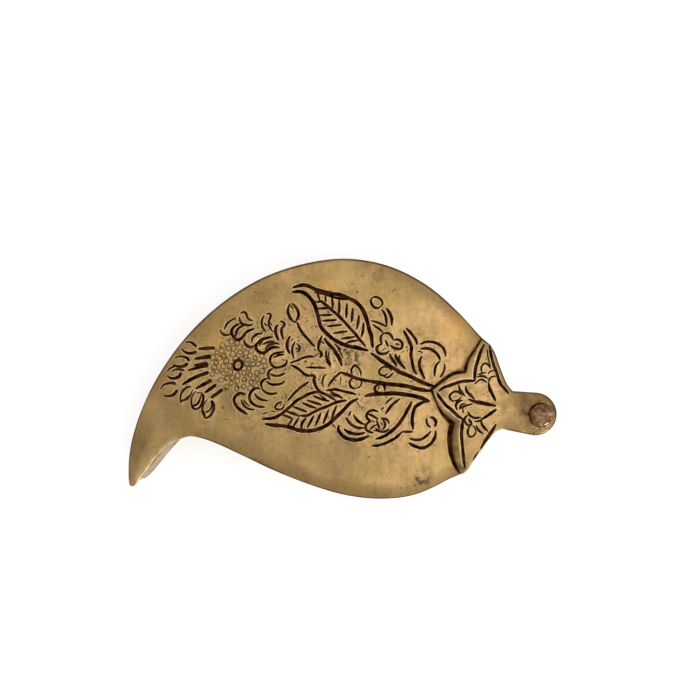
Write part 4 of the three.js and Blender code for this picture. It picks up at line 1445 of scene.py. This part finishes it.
# The painted values that the finish reads, and its clouds: size, detail, and where each starts and is full
lid_values = ("cut", "fresh", "soot", "rim", "flaw", "warm", "dull", "stipple", "worked", "filed", "pale",
              "grimed", "ridge")
lid_clouds = {
    "patches": (24, 4.0, 0.36, 0.66),
    "hue": (11, 5.0, 0.38, 0.62),
    "dirt": (2.4, 4.0, 0.36, 0.68),
    "mottle": (1.6, 6.0, 0.35, 0.65),
    "specks": (0.8, 3.0, 0.58, 0.66),
    "spots": (6.5, 6.0, 0.5, 0.74),
}
polishing_streaks = (1.5, 4.0, (1, 0.1, 1))
lid_grain = (0.3, 2.0)
lid_waves = (8, 3.0)
pit_spacing = 2.6
pit_fade = (0.05, 0.11, 1.0, 0.0)

# How much of its colour each value lays on, and from where to where a value works
layer_shares = {
    "dull": 0.55, "mottle": 0.18, "rim": 0.25, "warm": 0.7, "pit": 0.5, "grimed": 0.6, "fresh": 0.7,
    "pale": 0.3, "ridge": 0.65, "filed": 0.5,
}
worked_speck_share = 0.6
spots_tarnish = (0.0, 1.0, 0.0, 0.4)
streaks_tarnish = (0.45, 0.8, 0.0, 0.2)
rim_shade_fade = (0.8, 0.95, 0.0, 0.9)
highlight_clears_rim_shade = (0.0, 0.5, 1.0, 0.0)
mottle_breaks = (0.2, 0.8, 0.12, 1.0)
stipple_darkens = (0.0, 0.8, 0.12, 0.75)
streaks_roughen = (0.3, 0.8, 0.0, 0.08)
lid_roughness = 0.34
spots_roughness = 0.1
cut_roughness = 0.25
lid_wave_height = 0.14
streak_height = 0.02
pit_height = -0.03
stipple_height = -0.04
worked_height = 0.03
polished = (0.6, 0.385, 0.155)
rosy = (0.58, 0.36, 0.16)
clouded = (0.44, 0.28, 0.108)
yellowed = (0.46, 0.305, 0.1)
# Bright brass for rubbed burrs, and for the painted ridge and edge highlights
bright_brass_and_highlight = (0.95, 0.76, 0.48)
# The colour of the painted sheen
painted_sheen_colour = (0.78, 0.52, 0.22)
# A tarnish colour, also used to paint the rim's shade
tarnish_and_shade = (0.22, 0.125, 0.055)
olive = (0.3, 0.195, 0.085)
reddened = (0.62, 0.35, 0.1)
solder_grey = (0.15, 0.1, 0.062)
# A brown film colour for patina, specks and painted shade
brown_film_and_shade = (0.055, 0.02, 0.005)
rubbed_brown = (0.085, 0.03, 0.01)
rubbed_black = (0.012, 0.002, 0.0)

# Each patch is its pixel and its radius in millimetres
plate_patches = {
    "flaw": [
        (352, 354, 2.2), (357, 360, 1.6), (348, 366, 1.3), (416.5, 480, 1.3), (417, 484, 0.9),
        (421, 483, 1.5), (427, 480, 1.5), (298, 348, 1.6), (285, 341, 1.2),
    ],
    # Painted sheen: the lit band inside the belly's lower edge, the hook's facet, and broad lighter patches
    "pale": [
        (303, 463, 1.5), (311, 469, 1.6), (319, 474, 1.6), (328, 477, 1.4), (367, 481, 1.6),
        (380, 482, 1.6), (393, 484, 1.6), (402, 485, 1.4), (175, 437, 1.2), (171, 441, 1.0),
        (398, 315, 5.0), (340, 272, 5.0), (150, 405, 4.0), (440, 466, 4.0),
    ],
    # Darker along part of the belly's lower left edge
    "grimed": [(254, 459, 1.8), (262, 463.5, 1.8), (270, 468, 1.6), (279, 472.5, 1.4)],
    "warm": [(458, 327, 4.5), (218, 343, 4.0), (330, 290, 4.0)],
    # Painted highlights along the hook's bevel, where it faces the light
    "filed": [
        (173, 438, 1.6), (168, 442, 1.6), (160, 449, 1.4), (151, 459, 1.6), (145, 468, 1.4), (139, 477, 1.4),
    ],
    "dull": [
        (300, 452, 11.0), (335, 470, 6.0), (345, 446, 5.0), (345, 445, 3.0), (140, 452, 8.0),
        (172, 415, 6.0), (228, 400, 2.6), (229, 409, 2.4), (346, 444, 2.5), (262, 288, 5.0), (252, 440, 6.0),
        (434, 328, 2.5), (378, 402, 1.6), (393, 407, 1.6), (408, 297, 1.8),
    ],
    "stipple": [
        (237, 365, 9.5), (312, 318, 6.5), (322, 345, 4.0), (305, 345, 5.0), (350, 358, 4.5), (330, 372, 4.5),
        (345, 373, 4.0), (310, 380, 4.5), (283, 365, 3.0), (392, 360, 4.0), (405, 352, 4.0), (362, 400, 4.0),
        (300, 362, 4.0), (280, 395, 4.0), (262, 330, 3.0), (420, 380, 4.0), (354, 357, 2.6), (298, 347, 2.0),
    ],
}
calyx_patches = {
    # Its painted sheen lies on the lower flank, which faces the light
    "flaw": [], "warm": [], "pale": [(475, 445, 3.0)], "grimed": [],
    # Its dull patch at (480, 427) is painted shade under a bud; the others dull its stippled fields
    "dull": [(478, 392, 2.6), (474, 411, 2.2), (480, 427, 1.4), (453, 400, 1.4)],
    # Painted highlights at the calyx's front point and along its lower edges, which face the light
    "filed": [(436.5, 391.5, 1.0), (465, 470, 1.6), (474, 463, 2.0), (485, 449, 2.4), (500, 431, 2.0)],
    "stipple": [(480, 393, 2.4), (478, 411, 2.4), (540, 420, 7.0)],
}
# Lines along the calyx's border ridges, on which highlights are painted
calyx_ridges = [
    (461, 421.5, 459.5, 430, 459.3, 438, 460.2, 447, 461.2, 456, 462.6, 465),
    (438.3, 398.6, 444.5, 407.2, 453, 414.5, 460.8, 420.2),
    (440, 387.6, 448, 383.3, 458, 379.6, 466, 378.6, 472.8, 379),
    (472.6, 378, 472.8, 368, 475.2, 358, 478.6, 350),
]

# The brown film and the black seam on the plate along the calyx's foot: patina where no polishing
# reaches, and painted shade at the foot of the step
foot_film_shade_width = 2.1
foot_film_shade_width_share = 0.7
foot_film_shade_waver = [(0.25, 4, 6)]
foot_film_shade_fullness = 2.4
foot_film_shade_share = 0.45
foot_film_shade_start_share = 0.6
foot_film_shade_start_reach = 9.0
notch_px = [(452, 424.5), (463.5, 370)]
notch_radius = 3.5
notch_width_share = 0.5
notch_film_shade_share = 0.3
foot_seam_depth = 0.12
foot_seam_widths = [
    (0.0, 0.45), (0.15, 0.75), (0.3, 1.05), (0.45, 0.8), (0.52, 0.3), (0.6, 1.0), (0.7, 1.5), (0.8, 1.4),
    (1.0, 0.8),
]
seam_side = -1

# The calyx's front edge, from lobe to lobe, and the plate's own end under it and its worn tip
lobe_shares = [
    [(0.327, 0.168), (0.3095, 0.118), (0.2945, 0.0745), (0.2875, 0.024)],
    [(0.2875, 0.024), (0.2605, 0.0165), (0.235, -0.0115), (0.21, -0.0465)],
    [(0.21, -0.0465), (0.22, -0.0985), (0.236, -0.1435), (0.261, -0.182)],
    [(0.261, -0.182), (0.2545, -0.225), (0.2555, -0.303), (0.2665, -0.364), (0.2795, -0.3965)],
]
plate_end_share = 0.75
plate_end_bow = 0.2
tip_shares = [
    back_shares[0], (-0.4965, -0.444), (-0.493, -0.449), (-0.488, -0.4495), (-0.4835, -0.445),
    tip_corner_shares,
]
edge_dent_px = (215.5, 311.5)
edge_dent_radius = 0.7
edge_dent_depth = 0.35
hook_bevel = 0.6
hook_bevel_fade = 1.5
leading_edge = joined(*(from_shares(shares) for shares in lobe_shares))
hook_line = from_shares(hook_shares)
flanks = [from_shares(shares) for shares in (upper_flank_shares, lower_flank_shares)]
plate_end = sum(flank[round(plate_end_share * (len(flank) - 1))] for flank in flanks) / 2


def before_plate_end(points):
    """How far points lie on the box's side of the plate's straight end."""
    return (plate_end - points) @ neck_way


def foot_seam():
    """The black line on the plate along the calyx's foot: dirt where no polishing reaches, and painted shade.
    """
    run = run_along(leading_edge)
    places, widths = np.array(foot_seam_widths).T
    width = np.interp(run / run[-1], places, widths)
    line = moved_left(leading_edge, seam_side * width / 2)
    return Cut(line, width, foot_seam_depth, burr=0.0)


def beside_calyx(plan):
    """The brown film on the plate beside the calyx: patina that polishing leaves, and painted shade at its
    foot.
    """
    widened = sum(near_spot(plan, *notch, notch_radius) for notch in notch_px)
    reach = foot_film_shade_width * waver(plan, foot_film_shade_waver, foot_film_shade_width_share + notch_width_share * widened)
    share = np.clip(foot_film_shade_fullness - foot_film_shade_fullness * gap_to(plan, leading_edge) / reach, 0, 1)
    from_start = np.hypot(*(plan - leading_edge[0]).T)
    start = np.clip(foot_film_shade_start_share + from_start / foot_film_shade_start_reach, 0, 1)
    return (foot_film_shade_share + notch_film_shade_share * widened) * share * start


def smooth_top(points):
    """How far the plate's top stands over the lid's smooth form: not at all."""
    return 0.0


below = cut_where(lid_lower, before_plate_end)
above = cut_where(lid_upper, before_plate_end)
end = spaced(np.array([below[-1], above[-1]]), outline_step)
end += neck_way * plate_end_bow * np.sin(np.linspace(0, math.pi, len(end)))[:, None]
plate_ring = np.vstack([below, end[1:-1], above[:0:-1], from_shares(tip_shares)[:-1]])
edge_dent = edge_dent_depth * near_spot(plate_ring, *edge_dent_px, edge_dent_radius)
plate_ring = moved_in(plate_ring, edge_dent)
in_hook = np.clip(1 - gap_to(plate_ring, hook_line) / hook_bevel_fade, 0, 1)
plate_edge = plate_rounding + (hook_bevel - plate_rounding) * in_hook
plain_cuts = [
    flower_petals, sprigs, upper_leaf, lower_leaf, middle_sprays, stems, small_flowers, tendrils,
]
plate_cuts = [graver_cut(entry) for group in plain_cuts for entry in group]
plate_cuts += [graver_cut(entry, loop_cut_shares) for entry in flower_loops]
plate_cuts += [graver_cut(entry, bar_cut_shares) for entry in flower_bars]
plate_cuts += [ring_cut(place, punched_ring) for place in punch_rings]
plate_cuts += [ring_dot(place, i) for i, place in enumerate(punch_rings)]
plate_cuts += [ring_cut(place, pit_ring) for place in pits_px]
plate_cuts.append(ring_cut(middle_ring_px, deepened_ring))
plate_cuts += ring_nicks(on_top(*middle_ring_px))
plate_cuts.append(foot_seam())
plate_engraving = Engraving(plate_cuts)
top_part = meshed_top(moved_in(plate_ring, plate_edge), None, plate_engraving, smooth_top)
under_ring = moved_in(plate_ring, plate_foot_rounding)
flat, flat_faces, under_home, _ = triangles_between(
    under_ring, None, fill_points(under_ring, underside_step), [])
under_part = (at_height(flat, lid_level), flat_faces, under_home, None)
top_level = top_part[0][top_part[2], 2]
edge_rows = rounded_edge(plate_ring, plate_edge, top_level, lid_level, plate_foot_rounding)
lid_finish = engraved_brass()
plate = slab("engraved_lid_plate", lid_finish, top_part, edge_rows, None, under_part)
patina(plate, plate_ring, plate_engraving, beside_calyx, plate_patches, [])
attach(plate, "lid")
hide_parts("lid_plate")

# The calyx and stem: one casting brazed over the end of the plate. Three lobes with a raised border
# lie on the plate, buds are cut in its middle, and the stem dips to the eye that turns on the rivet.
calyx_thickness = 1.2
calyx_sink = 0.1
lobe_rounding = 0.5
stem_rounding = 1.1
stem_fade = 8.0
eye_rim_share = 0.55
calyx_foot_rounding = 0.15
calyx_underside_step = 2.0
step_end_share = 0.1
step_shares = (0.9, 1.1)
shank_radius = 2.0
rivet_head_radius = 4.0
head_seat_depth = 0.5
head_seat_clearance = 0.2
turning_clearance = 0.1
seat_corner = 0.15
seat_crease = 0.05
hole_bevel = 0.1
bead_width = 2.0
bead_drop = 0.2
rivet_past_eye = 1.8
rivet_below_eye = 0.35
round_steps = 72
pivot = eye + (rivet_past_eye, -rivet_below_eye)

# The brown film on it, mostly painted shade with some patina: how strong it is by the distance from the
# front edge, by the pixel along the stem and across it, and round the rivet, where it paints a shadow
border_film_shade = [(0.0, 0.95), (0.4, 0.6), (2.3, 0.5), (3.0, 0.0)]
stem_film_shade = [
    (500, 0.0), (506, 0.15), (513, 0.4), (519, 0.6), (524, 0.7), (529, 0.64), (545, 0.62), (565, 0.55),
]
stem_film_shade_across = [(394, 0.55), (400, 0.75), (404, 1.0), (414, 1.0), (420, 0.55), (425, 0.3), (430, 0.1)]
lower_border_px = 404
lower_border_fade = 5.0
upper_border_share = 0.1
rivet_film_shade = 0.65
rivet_film_shade_left = 0.25
rivet_film_shade_above = 0.3
rivet_film_shade_width = 1.8
film_shade_waver = [(0.35, 2.5, 7), (0.25, 1.0, 8)]
film_shade_limit = 0.95
calyx_borders = [
    (3, 438.4, 390.9, 443.6, 387.3, 450, 385.2, 460.1, 381.7, 467.5, 380.8, 474.3, 380.8),
    (3, 474.3, 380.8, 474.5, 374.8, 475.4, 367.4, 477.7, 360, 480.5, 351.6, 484.2, 344.2),
    (3, 436.5, 392.8, 439.3, 397.1, 442.5, 401.4, 446.3, 405.8, 450, 408.5, 458.3, 416.4, 462.5, 418.7),
    (3, 462.5, 418.7, 462, 424.7, 461.1, 432.1, 461.5, 440.4, 462.5, 449.7, 463.4, 458.9, 464.8, 467.7),
    (2.6, 489.3, 345.2, 491.1, 355.3, 493.4, 364.6, 496.7, 372.9, 499.9, 383.1, 503.6, 387.7, 508.7, 393.7),
    (1.2, 486.9, 348.9, 488, 358.1, 490.3, 366.4),
    (3.4, 495.7, 424.2, 491.6, 431.2, 486, 439.5, 480.9, 448.3), (1.7, 478.6, 450.6, 472.6, 460.8),
]
calyx_buds = [
    (3.5, 468.5, 399.3, 474.9, 401.6, 482.3, 403, 495.3, 405.7),
    (3.5, 495.7, 409.4, 489.7, 413.6, 482.3, 418.7),
    (2.4, 481, 419.5, 481.3, 423.8, 483.9, 427.4, 487.4, 431),
    (3, 488.3, 383.1, 489.7, 389.6, 492.5, 395.1, 495.3, 400.7),
    (1.7, 481.4, 372, 480.9, 367.4, 484.2, 363.2, 487.9, 364.6, 490.2, 368.3),
    (1.7, 477.7, 374.4, 482.3, 372.9, 485.6, 372.7), (1.7, 476.8, 377, 482.3, 375.9, 487.4, 378.4),
    (1.7, 474.5, 384, 477.7, 380.8, 481.4, 379.4, 486.5, 382.3),
    (1.7, 487.9, 373.8, 489.7, 371.5, 493.4, 370.3),
    (1.7, 488.8, 382.2, 488.8, 379.4, 491.6, 376.6, 495.7, 376.1),
    (2, 452.7, 401.6, 449.5, 397.9, 449.5, 395.1, 453.7, 391.6, 457.4, 391.6, 460.1, 393.3, 463.8, 395.1),
    (2.2, 458.6, 385, 459.3, 389, 461.5, 392.3, 464.5, 395.8),
    (2.5, 465.2, 385.9, 466.6, 391.4, 470.3, 395.1, 474, 398.8),
    (2.3, 462, 400.3, 458.3, 401.2, 455.5, 405.3, 456.9, 409.9),
    (1.6, 459.2, 408.6, 460.6, 404.9, 465, 403.2),
    (1.5, 452.4, 400.8, 456, 400.4, 459, 398.8, 461.2, 396.5), (2, 459.2, 408.8, 464.8, 405.7, 472.2, 403.9),
    (2, 462.5, 408.6, 462.9, 412.7), (2, 467.5, 411.8, 470.3, 415.9, 474.9, 417.8, 480.5, 417.3),
    (2, 467.5, 415, 464.8, 417.3, 464.3, 421, 468, 425.2, 471.2, 423.8, 469, 418.9),
    (1.3, 468.4, 418.6, 469.2, 422.6),
    (1.8, 474.3, 421.3, 478.3, 421, 481.4, 418.8),
    (2, 469.4, 425.9, 467.5, 430.2, 468, 434.9, 470.3, 436.7, 474, 434.9, 475.7, 431.6),
    (2.3, 475.9, 425.6, 477.7, 429.3, 482.8, 433.9), (1.5, 472.4, 425.5, 474.8, 427.9, 475.6, 431.4),
]


def circle(radius):
    """A circle round the pivot, clockwise, as the edge of a hole."""
    return pivot + radius * ways_at(np.linspace(2 * math.pi, 0, round_steps, endpoint=False))


def calyx_underside(points):
    """The height of the calyx's underside: on the plate, and past the plate's end at the lid's level."""
    return np.where(before_plate_end(points) > -braze_gap, lid_top(points) - calyx_sink, lid_level)


def casting_rise(points):
    """How far the casting's top stands over the plate's: it falls off in a bead along its leading edge."""
    share = np.clip(gap_to(points, leading_edge) / bead_width, 0, 1)
    return calyx_thickness - bead_drop * (1 - share) ** 2


def on_calyx(plan):
    """Painted shade as brown film on the casting, with some patina: on its border's lower side, on the stem,
    round the rivet.
    """
    lower = np.clip((on_top(0, lower_border_px)[1] - plan[:, 1]) / lower_border_fade, 0, 1)
    border = np.interp(gap_to(plan, leading_edge), *np.array(border_film_shade).T)
    # The border's lower side faces away from the light, so its painted shade is strong there and faint above
    border *= upper_border_share + (1 - upper_border_share) * lower
    along = [(on_top(x, 0)[0], film_shade) for x, film_shade in stem_film_shade]
    across = [(on_top(0, y)[1], film_shade) for y, film_shade in stem_film_shade_across[::-1]]
    # The stem's painted shade is strongest over its dip and across its middle
    stem = np.interp(plan[:, 0], *zip(*along)) * np.interp(plan[:, 1], *zip(*across))
    away = plan - pivot
    distance = np.hypot(*away.T)
    # Round the rivet it paints a shadow, strongest on the left and above
    round_rivet = rivet_film_shade - rivet_film_shade_left * away[:, 0] / distance
    round_rivet += rivet_film_shade_above * away[:, 1] / distance
    round_rivet *= np.exp(-np.clip(distance - seat_radius, 0, None) / rivet_film_shade_width)
    film_shade = np.maximum(np.maximum(border, stem), round_rivet)
    return np.clip(film_shade * waver(plan, film_shade_waver, 1.0), 0, film_shade_limit)


def past(line, start):
    """The part of one of the lid's sides that lies past a point of it towards the stem."""
    return line[line[:, 0] > start[0] + outline_step / 2]


def step_row(share):
    """A row of points on the calyx's underside that holds the step at the plate's end."""
    inset = step_end_share * (above[-1] - below[-1])
    ends = np.array([below[-1] + inset, above[-1] - inset])
    return spaced(ends + share * braze_gap * neck_way, outline_step)


calyx_ring = np.vstack([
    leading_edge, past(lid_lower, leading_edge[-1]), stem_side(lid_lower[-1], -1)[1:],
    stem_side(lid_upper[-1], 1)[-2:0:-1], past(lid_upper, leading_edge[0])[::-1],
])
calyx_engraving = Engraving([graver_cut(entry) for entry in calyx_borders + calyx_buds])
to_stem = np.clip((calyx_ring[:, 0] - neck_middle[0] + stem_fade / 2) / stem_fade, 0, 1)
seat_radius = rivet_head_radius + head_seat_clearance
room = np.hypot(*(calyx_ring - pivot).T) - seat_radius - seat_corner
rounding = np.minimum(lobe_rounding + (stem_rounding - lobe_rounding) * to_stem, eye_rim_share * room)
calyx_top = meshed_top(
    moved_in(calyx_ring, rounding), circle(seat_radius + seat_corner), calyx_engraving, casting_rise)
hole_radius = shank_radius + turning_clearance
head_seat = lid_top(pivot[None])[0] + calyx_thickness - head_seat_depth
seat_top = calyx_top[0][calyx_top[3], 2]
seat_rows = []
for turn in np.linspace(0, math.pi / 2, rounding_steps)[1:]:
    row = circle(seat_radius + seat_corner * (1 - math.sin(turn)))
    seat_rows.append(at_height(row, seat_top - seat_corner * (1 - math.cos(turn))))
for radius, height in (
    (seat_radius, head_seat + seat_crease), (seat_radius - seat_crease, head_seat),
    (hole_radius + hole_bevel, head_seat), (hole_radius, head_seat - hole_bevel),
):
    seat_rows.append(at_height(circle(radius), height))
foot_ring = moved_in(calyx_ring, calyx_foot_rounding)
under_hole = circle(hole_radius)
inner_points = [fill_points(foot_ring, calyx_underside_step, hole=under_hole)]
inner_points += [step_row(share) for share in step_shares]
flat, flat_faces, ring_home, hole_home = triangles_between(foot_ring, under_hole, np.vstack(inner_points), [])
calyx_under = (at_height(flat, calyx_underside(flat)), flat_faces, ring_home, hole_home)
top_level = calyx_top[0][calyx_top[2], 2]
calyx_rows = rounded_edge(calyx_ring, rounding, top_level, calyx_underside(calyx_ring), calyx_foot_rounding)
calyx = slab("calyx_and_stem", lid_finish, calyx_top, calyx_rows, seat_rows, calyx_under)
patina(calyx, calyx_ring, calyx_engraving, on_calyx, calyx_patches, calyx_ridges)
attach(calyx, "lid")
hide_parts("calyx_stem")

# The rivet: a copper-coloured pin with a broad head, hammered flat and worn brown, and a tail that was
# riveted over the burr under the lug.
rivet_head_height = 1.3
rivet_tail_radius = 2.9
rivet_tail_height = 1.1
shank_fillet = 0.1
running_gap = 0.1
burr_level = 21.5
burr_thickness = 0.8
head_shares = [
    (0.0, 1.0), (0.12, 0.995), (0.25, 0.985), (0.4, 0.97), (0.52, 0.94), (0.64, 0.9), (0.74, 0.84),
    (0.83, 0.76), (0.9, 0.67), (0.95, 0.55), (0.985, 0.4), (1.0, 0.22), (0.985, 0.05), (0.95, 0.0),
]
tail_shares = [(1.0, 0.0), (1.0, 0.25), (0.94, 0.5), (0.8, 0.72), (0.6, 0.87), (0.3, 0.97), (0.0, 1.0)]
head_wobble = 0.024
tail_wobble = 0.02
rim_waves = [(1.0, 2, 0.8), (0.7, 5, 0.0), (0.4, 9, 2.0)]
hammered_from_share = 0.2
head_waver = [(0.1, 1.3, 11), (0.1, 2.7, 12)]

# The colours of its brown skin, of what shows on it and through it, and of its painted shadow and glints
pin_brown = (0.25, 0.147, 0.077)
pin_dark = (0.165, 0.092, 0.046)
pin_speckled = (0.08, 0.038, 0.016)
pin_rubbed = (0.55, 0.37, 0.2)
pin_stain_and_shadow = (0.07, 0.03, 0.014)
painted_glint_colour = (0.9, 0.7, 0.5)

# Each mottling is its size and detail, and each fade runs between two of its values
pin_patches = (3.2, 5.0)
pin_specks = (1.2, 5.0)
pin_waves = (1.1, 4.0)
pin_patches_fade = (0.35, 0.65)
pin_specks_fade = (0.45, 0.65)
pin_high_fade = (0.5, 0.56)
patches_stain = (0.0, 1.0, 0.6, 1.0)
specks_roughness = (0.0, 1.0, 0.26, 0.46)
pin_speck_share = 0.6
pin_rubbed_share = 0.25
pin_wave_height = 0.05

# Each dent, stain, painted shadow and painted glint is its pixel, its radius in millimetres, and how deep
# or strong it is
head_dents = [
    (541.2, 408.8, 0.8, 0.22), (537.9, 413.8, 0.6, 0.16), (545.5, 416.5, 1.3, 0.16),
    (534.5, 419.5, 1.2, 0.14), (541.0, 421.5, 1.0, 0.12), (533.5, 411.0, 1.0, 0.12),
]
# The stains at about x 531 paint the shadow crescent on the head's left; the others are dark stains
head_stains_and_shadow = [
    (541, 408, 1.1, 1.1), (546, 411.5, 0.9, 0.85), (536, 408, 0.7, 0.4), (530.5, 408, 0.7, 0.8),
    (530, 413, 0.8, 1.0), (531, 418, 0.7, 0.7),
]
# Painted glints where the head's right and lower rim faces the light
painted_head_glints = [
    (551, 414, 0.5, 0.9), (551.8, 418.5, 0.45, 0.8), (546.5, 424.3, 0.5, 0.8), (541, 425.2, 0.5, 0.7),
]


def head_rise(points):
    """Where a hammer left the rivet's head high and low."""
    rise = waver(points, head_waver)
    for *spot, depth in head_dents:
        rise -= depth * near_spot(points, *spot)
    return rise


def rivet_rings():
    """The radius, height and unevenness of each ring of the rivet, and where its hammered top starts."""
    head_level = head_seat + running_gap
    tail_level = burr_level - burr_thickness
    rings = [(r * rivet_head_radius, head_level + z * rivet_head_height, r ** 4 * head_wobble)
             for r, z in head_shares]
    rings += [(shank_radius + shank_fillet, head_level, 0), (shank_radius, head_level - shank_fillet, 0),
              (shank_radius, tail_level, 0)]
    rings += [(r * rivet_tail_radius, tail_level - z * rivet_tail_height, tail_wobble)
              for r, z in tail_shares]
    return rings, head_level + hammered_from_share * rivet_head_height


def rivet_shape(material):
    """The rivet: rings from the middle of its head over its rim, down its shank and round its tail."""
    made = bmesh.new()
    loops = []
    angles = np.linspace(0, 2 * math.pi, round_steps, endpoint=False)
    waves = sum(share * np.sin(count * angles + start) for share, count, start in rim_waves)
    rings, hammered_from = rivet_rings()
    for radius, height, wobble in rings:
        plan = pivot + (radius * (1 + wobble * waves))[:, None] * ways_at(angles)
        lift = head_rise(plan) if height > hammered_from else np.zeros(round_steps)
        if radius == 0:
            plan, lift = plan[:1], lift[:1]
        loops.append([made.verts.new(Vector((*p, height + up)) * metre) for p, up in zip(plan, lift)])
    for upper, lower in zip(loops, loops[1:]):
        for i, j in loop_edges(round_steps, 0):
            if len(upper) == 1:
                made.faces.new((upper[0], lower[i], lower[j]))
            elif len(lower) == 1:
                made.faces.new((upper[i], lower[0], upper[j]))
            else:
                made.faces.new((upper[i], lower[i], lower[j], upper[j]))
    return finished(made, "hammered_rivet", material)


def worn_copper():
    """Brown tarnish over a coppery pin, rubbed bright on its high spots, with a painted shadow and painted
    glints.
    """
    material, shader, add, feed = finish("worn_copper")
    where = add("TexCoord").outputs["Object"]
    patches = between(add, blotches(add, where, *pin_patches), *pin_patches_fade)
    specks = between(add, blotches(add, where, *pin_specks), *pin_specks_fade)
    high = between(add, add("NewGeometry").outputs["Pointiness"], *pin_high_fade)
    stain = add("Attribute", {"attribute_name": "stain"}).outputs["Fac"]
    glint = add("Attribute", {"attribute_name": "glint"}).outputs["Fac"]
    colour = mixed(add, patches, pin_brown, pin_dark)
    colour = mixed(add, product(add, specks, pin_speck_share), colour, pin_speckled)
    colour = mixed(add, product(add, high, pin_rubbed_share), colour, pin_rubbed)
    # The stain value also paints the shadow crescent on the head's left
    colour = mixed(add, product(add, stain, between(add, patches, *patches_stain)), colour, pin_stain_and_shadow)
    # Painted glints on the rim
    colour = mixed(add, glint, colour, painted_glint_colour)
    feed(shader.inputs["Base Color"], colour)
    shader.inputs["Metallic"].default_value = 1.0
    feed(shader.inputs["Roughness"], between(add, specks, *specks_roughness))
    feed(shader.inputs["Normal"], raised(add, [(blotches(add, where, *pin_waves), pin_wave_height)]))
    return material


rivet = rivet_shape(worn_copper())
rivet_plan = np.array([tuple(vertex.co)[:2] for vertex in rivet.data.vertices]) / metre
for name, places in (("stain", head_stains_and_shadow), ("glint", painted_head_glints)):
    value = sum(share * near_spot(rivet_plan, *spot) for *spot, share in places)
    painted(rivet, name, np.clip(value, 0, 1))
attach(rivet, "base")
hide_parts("pivot_rivet")
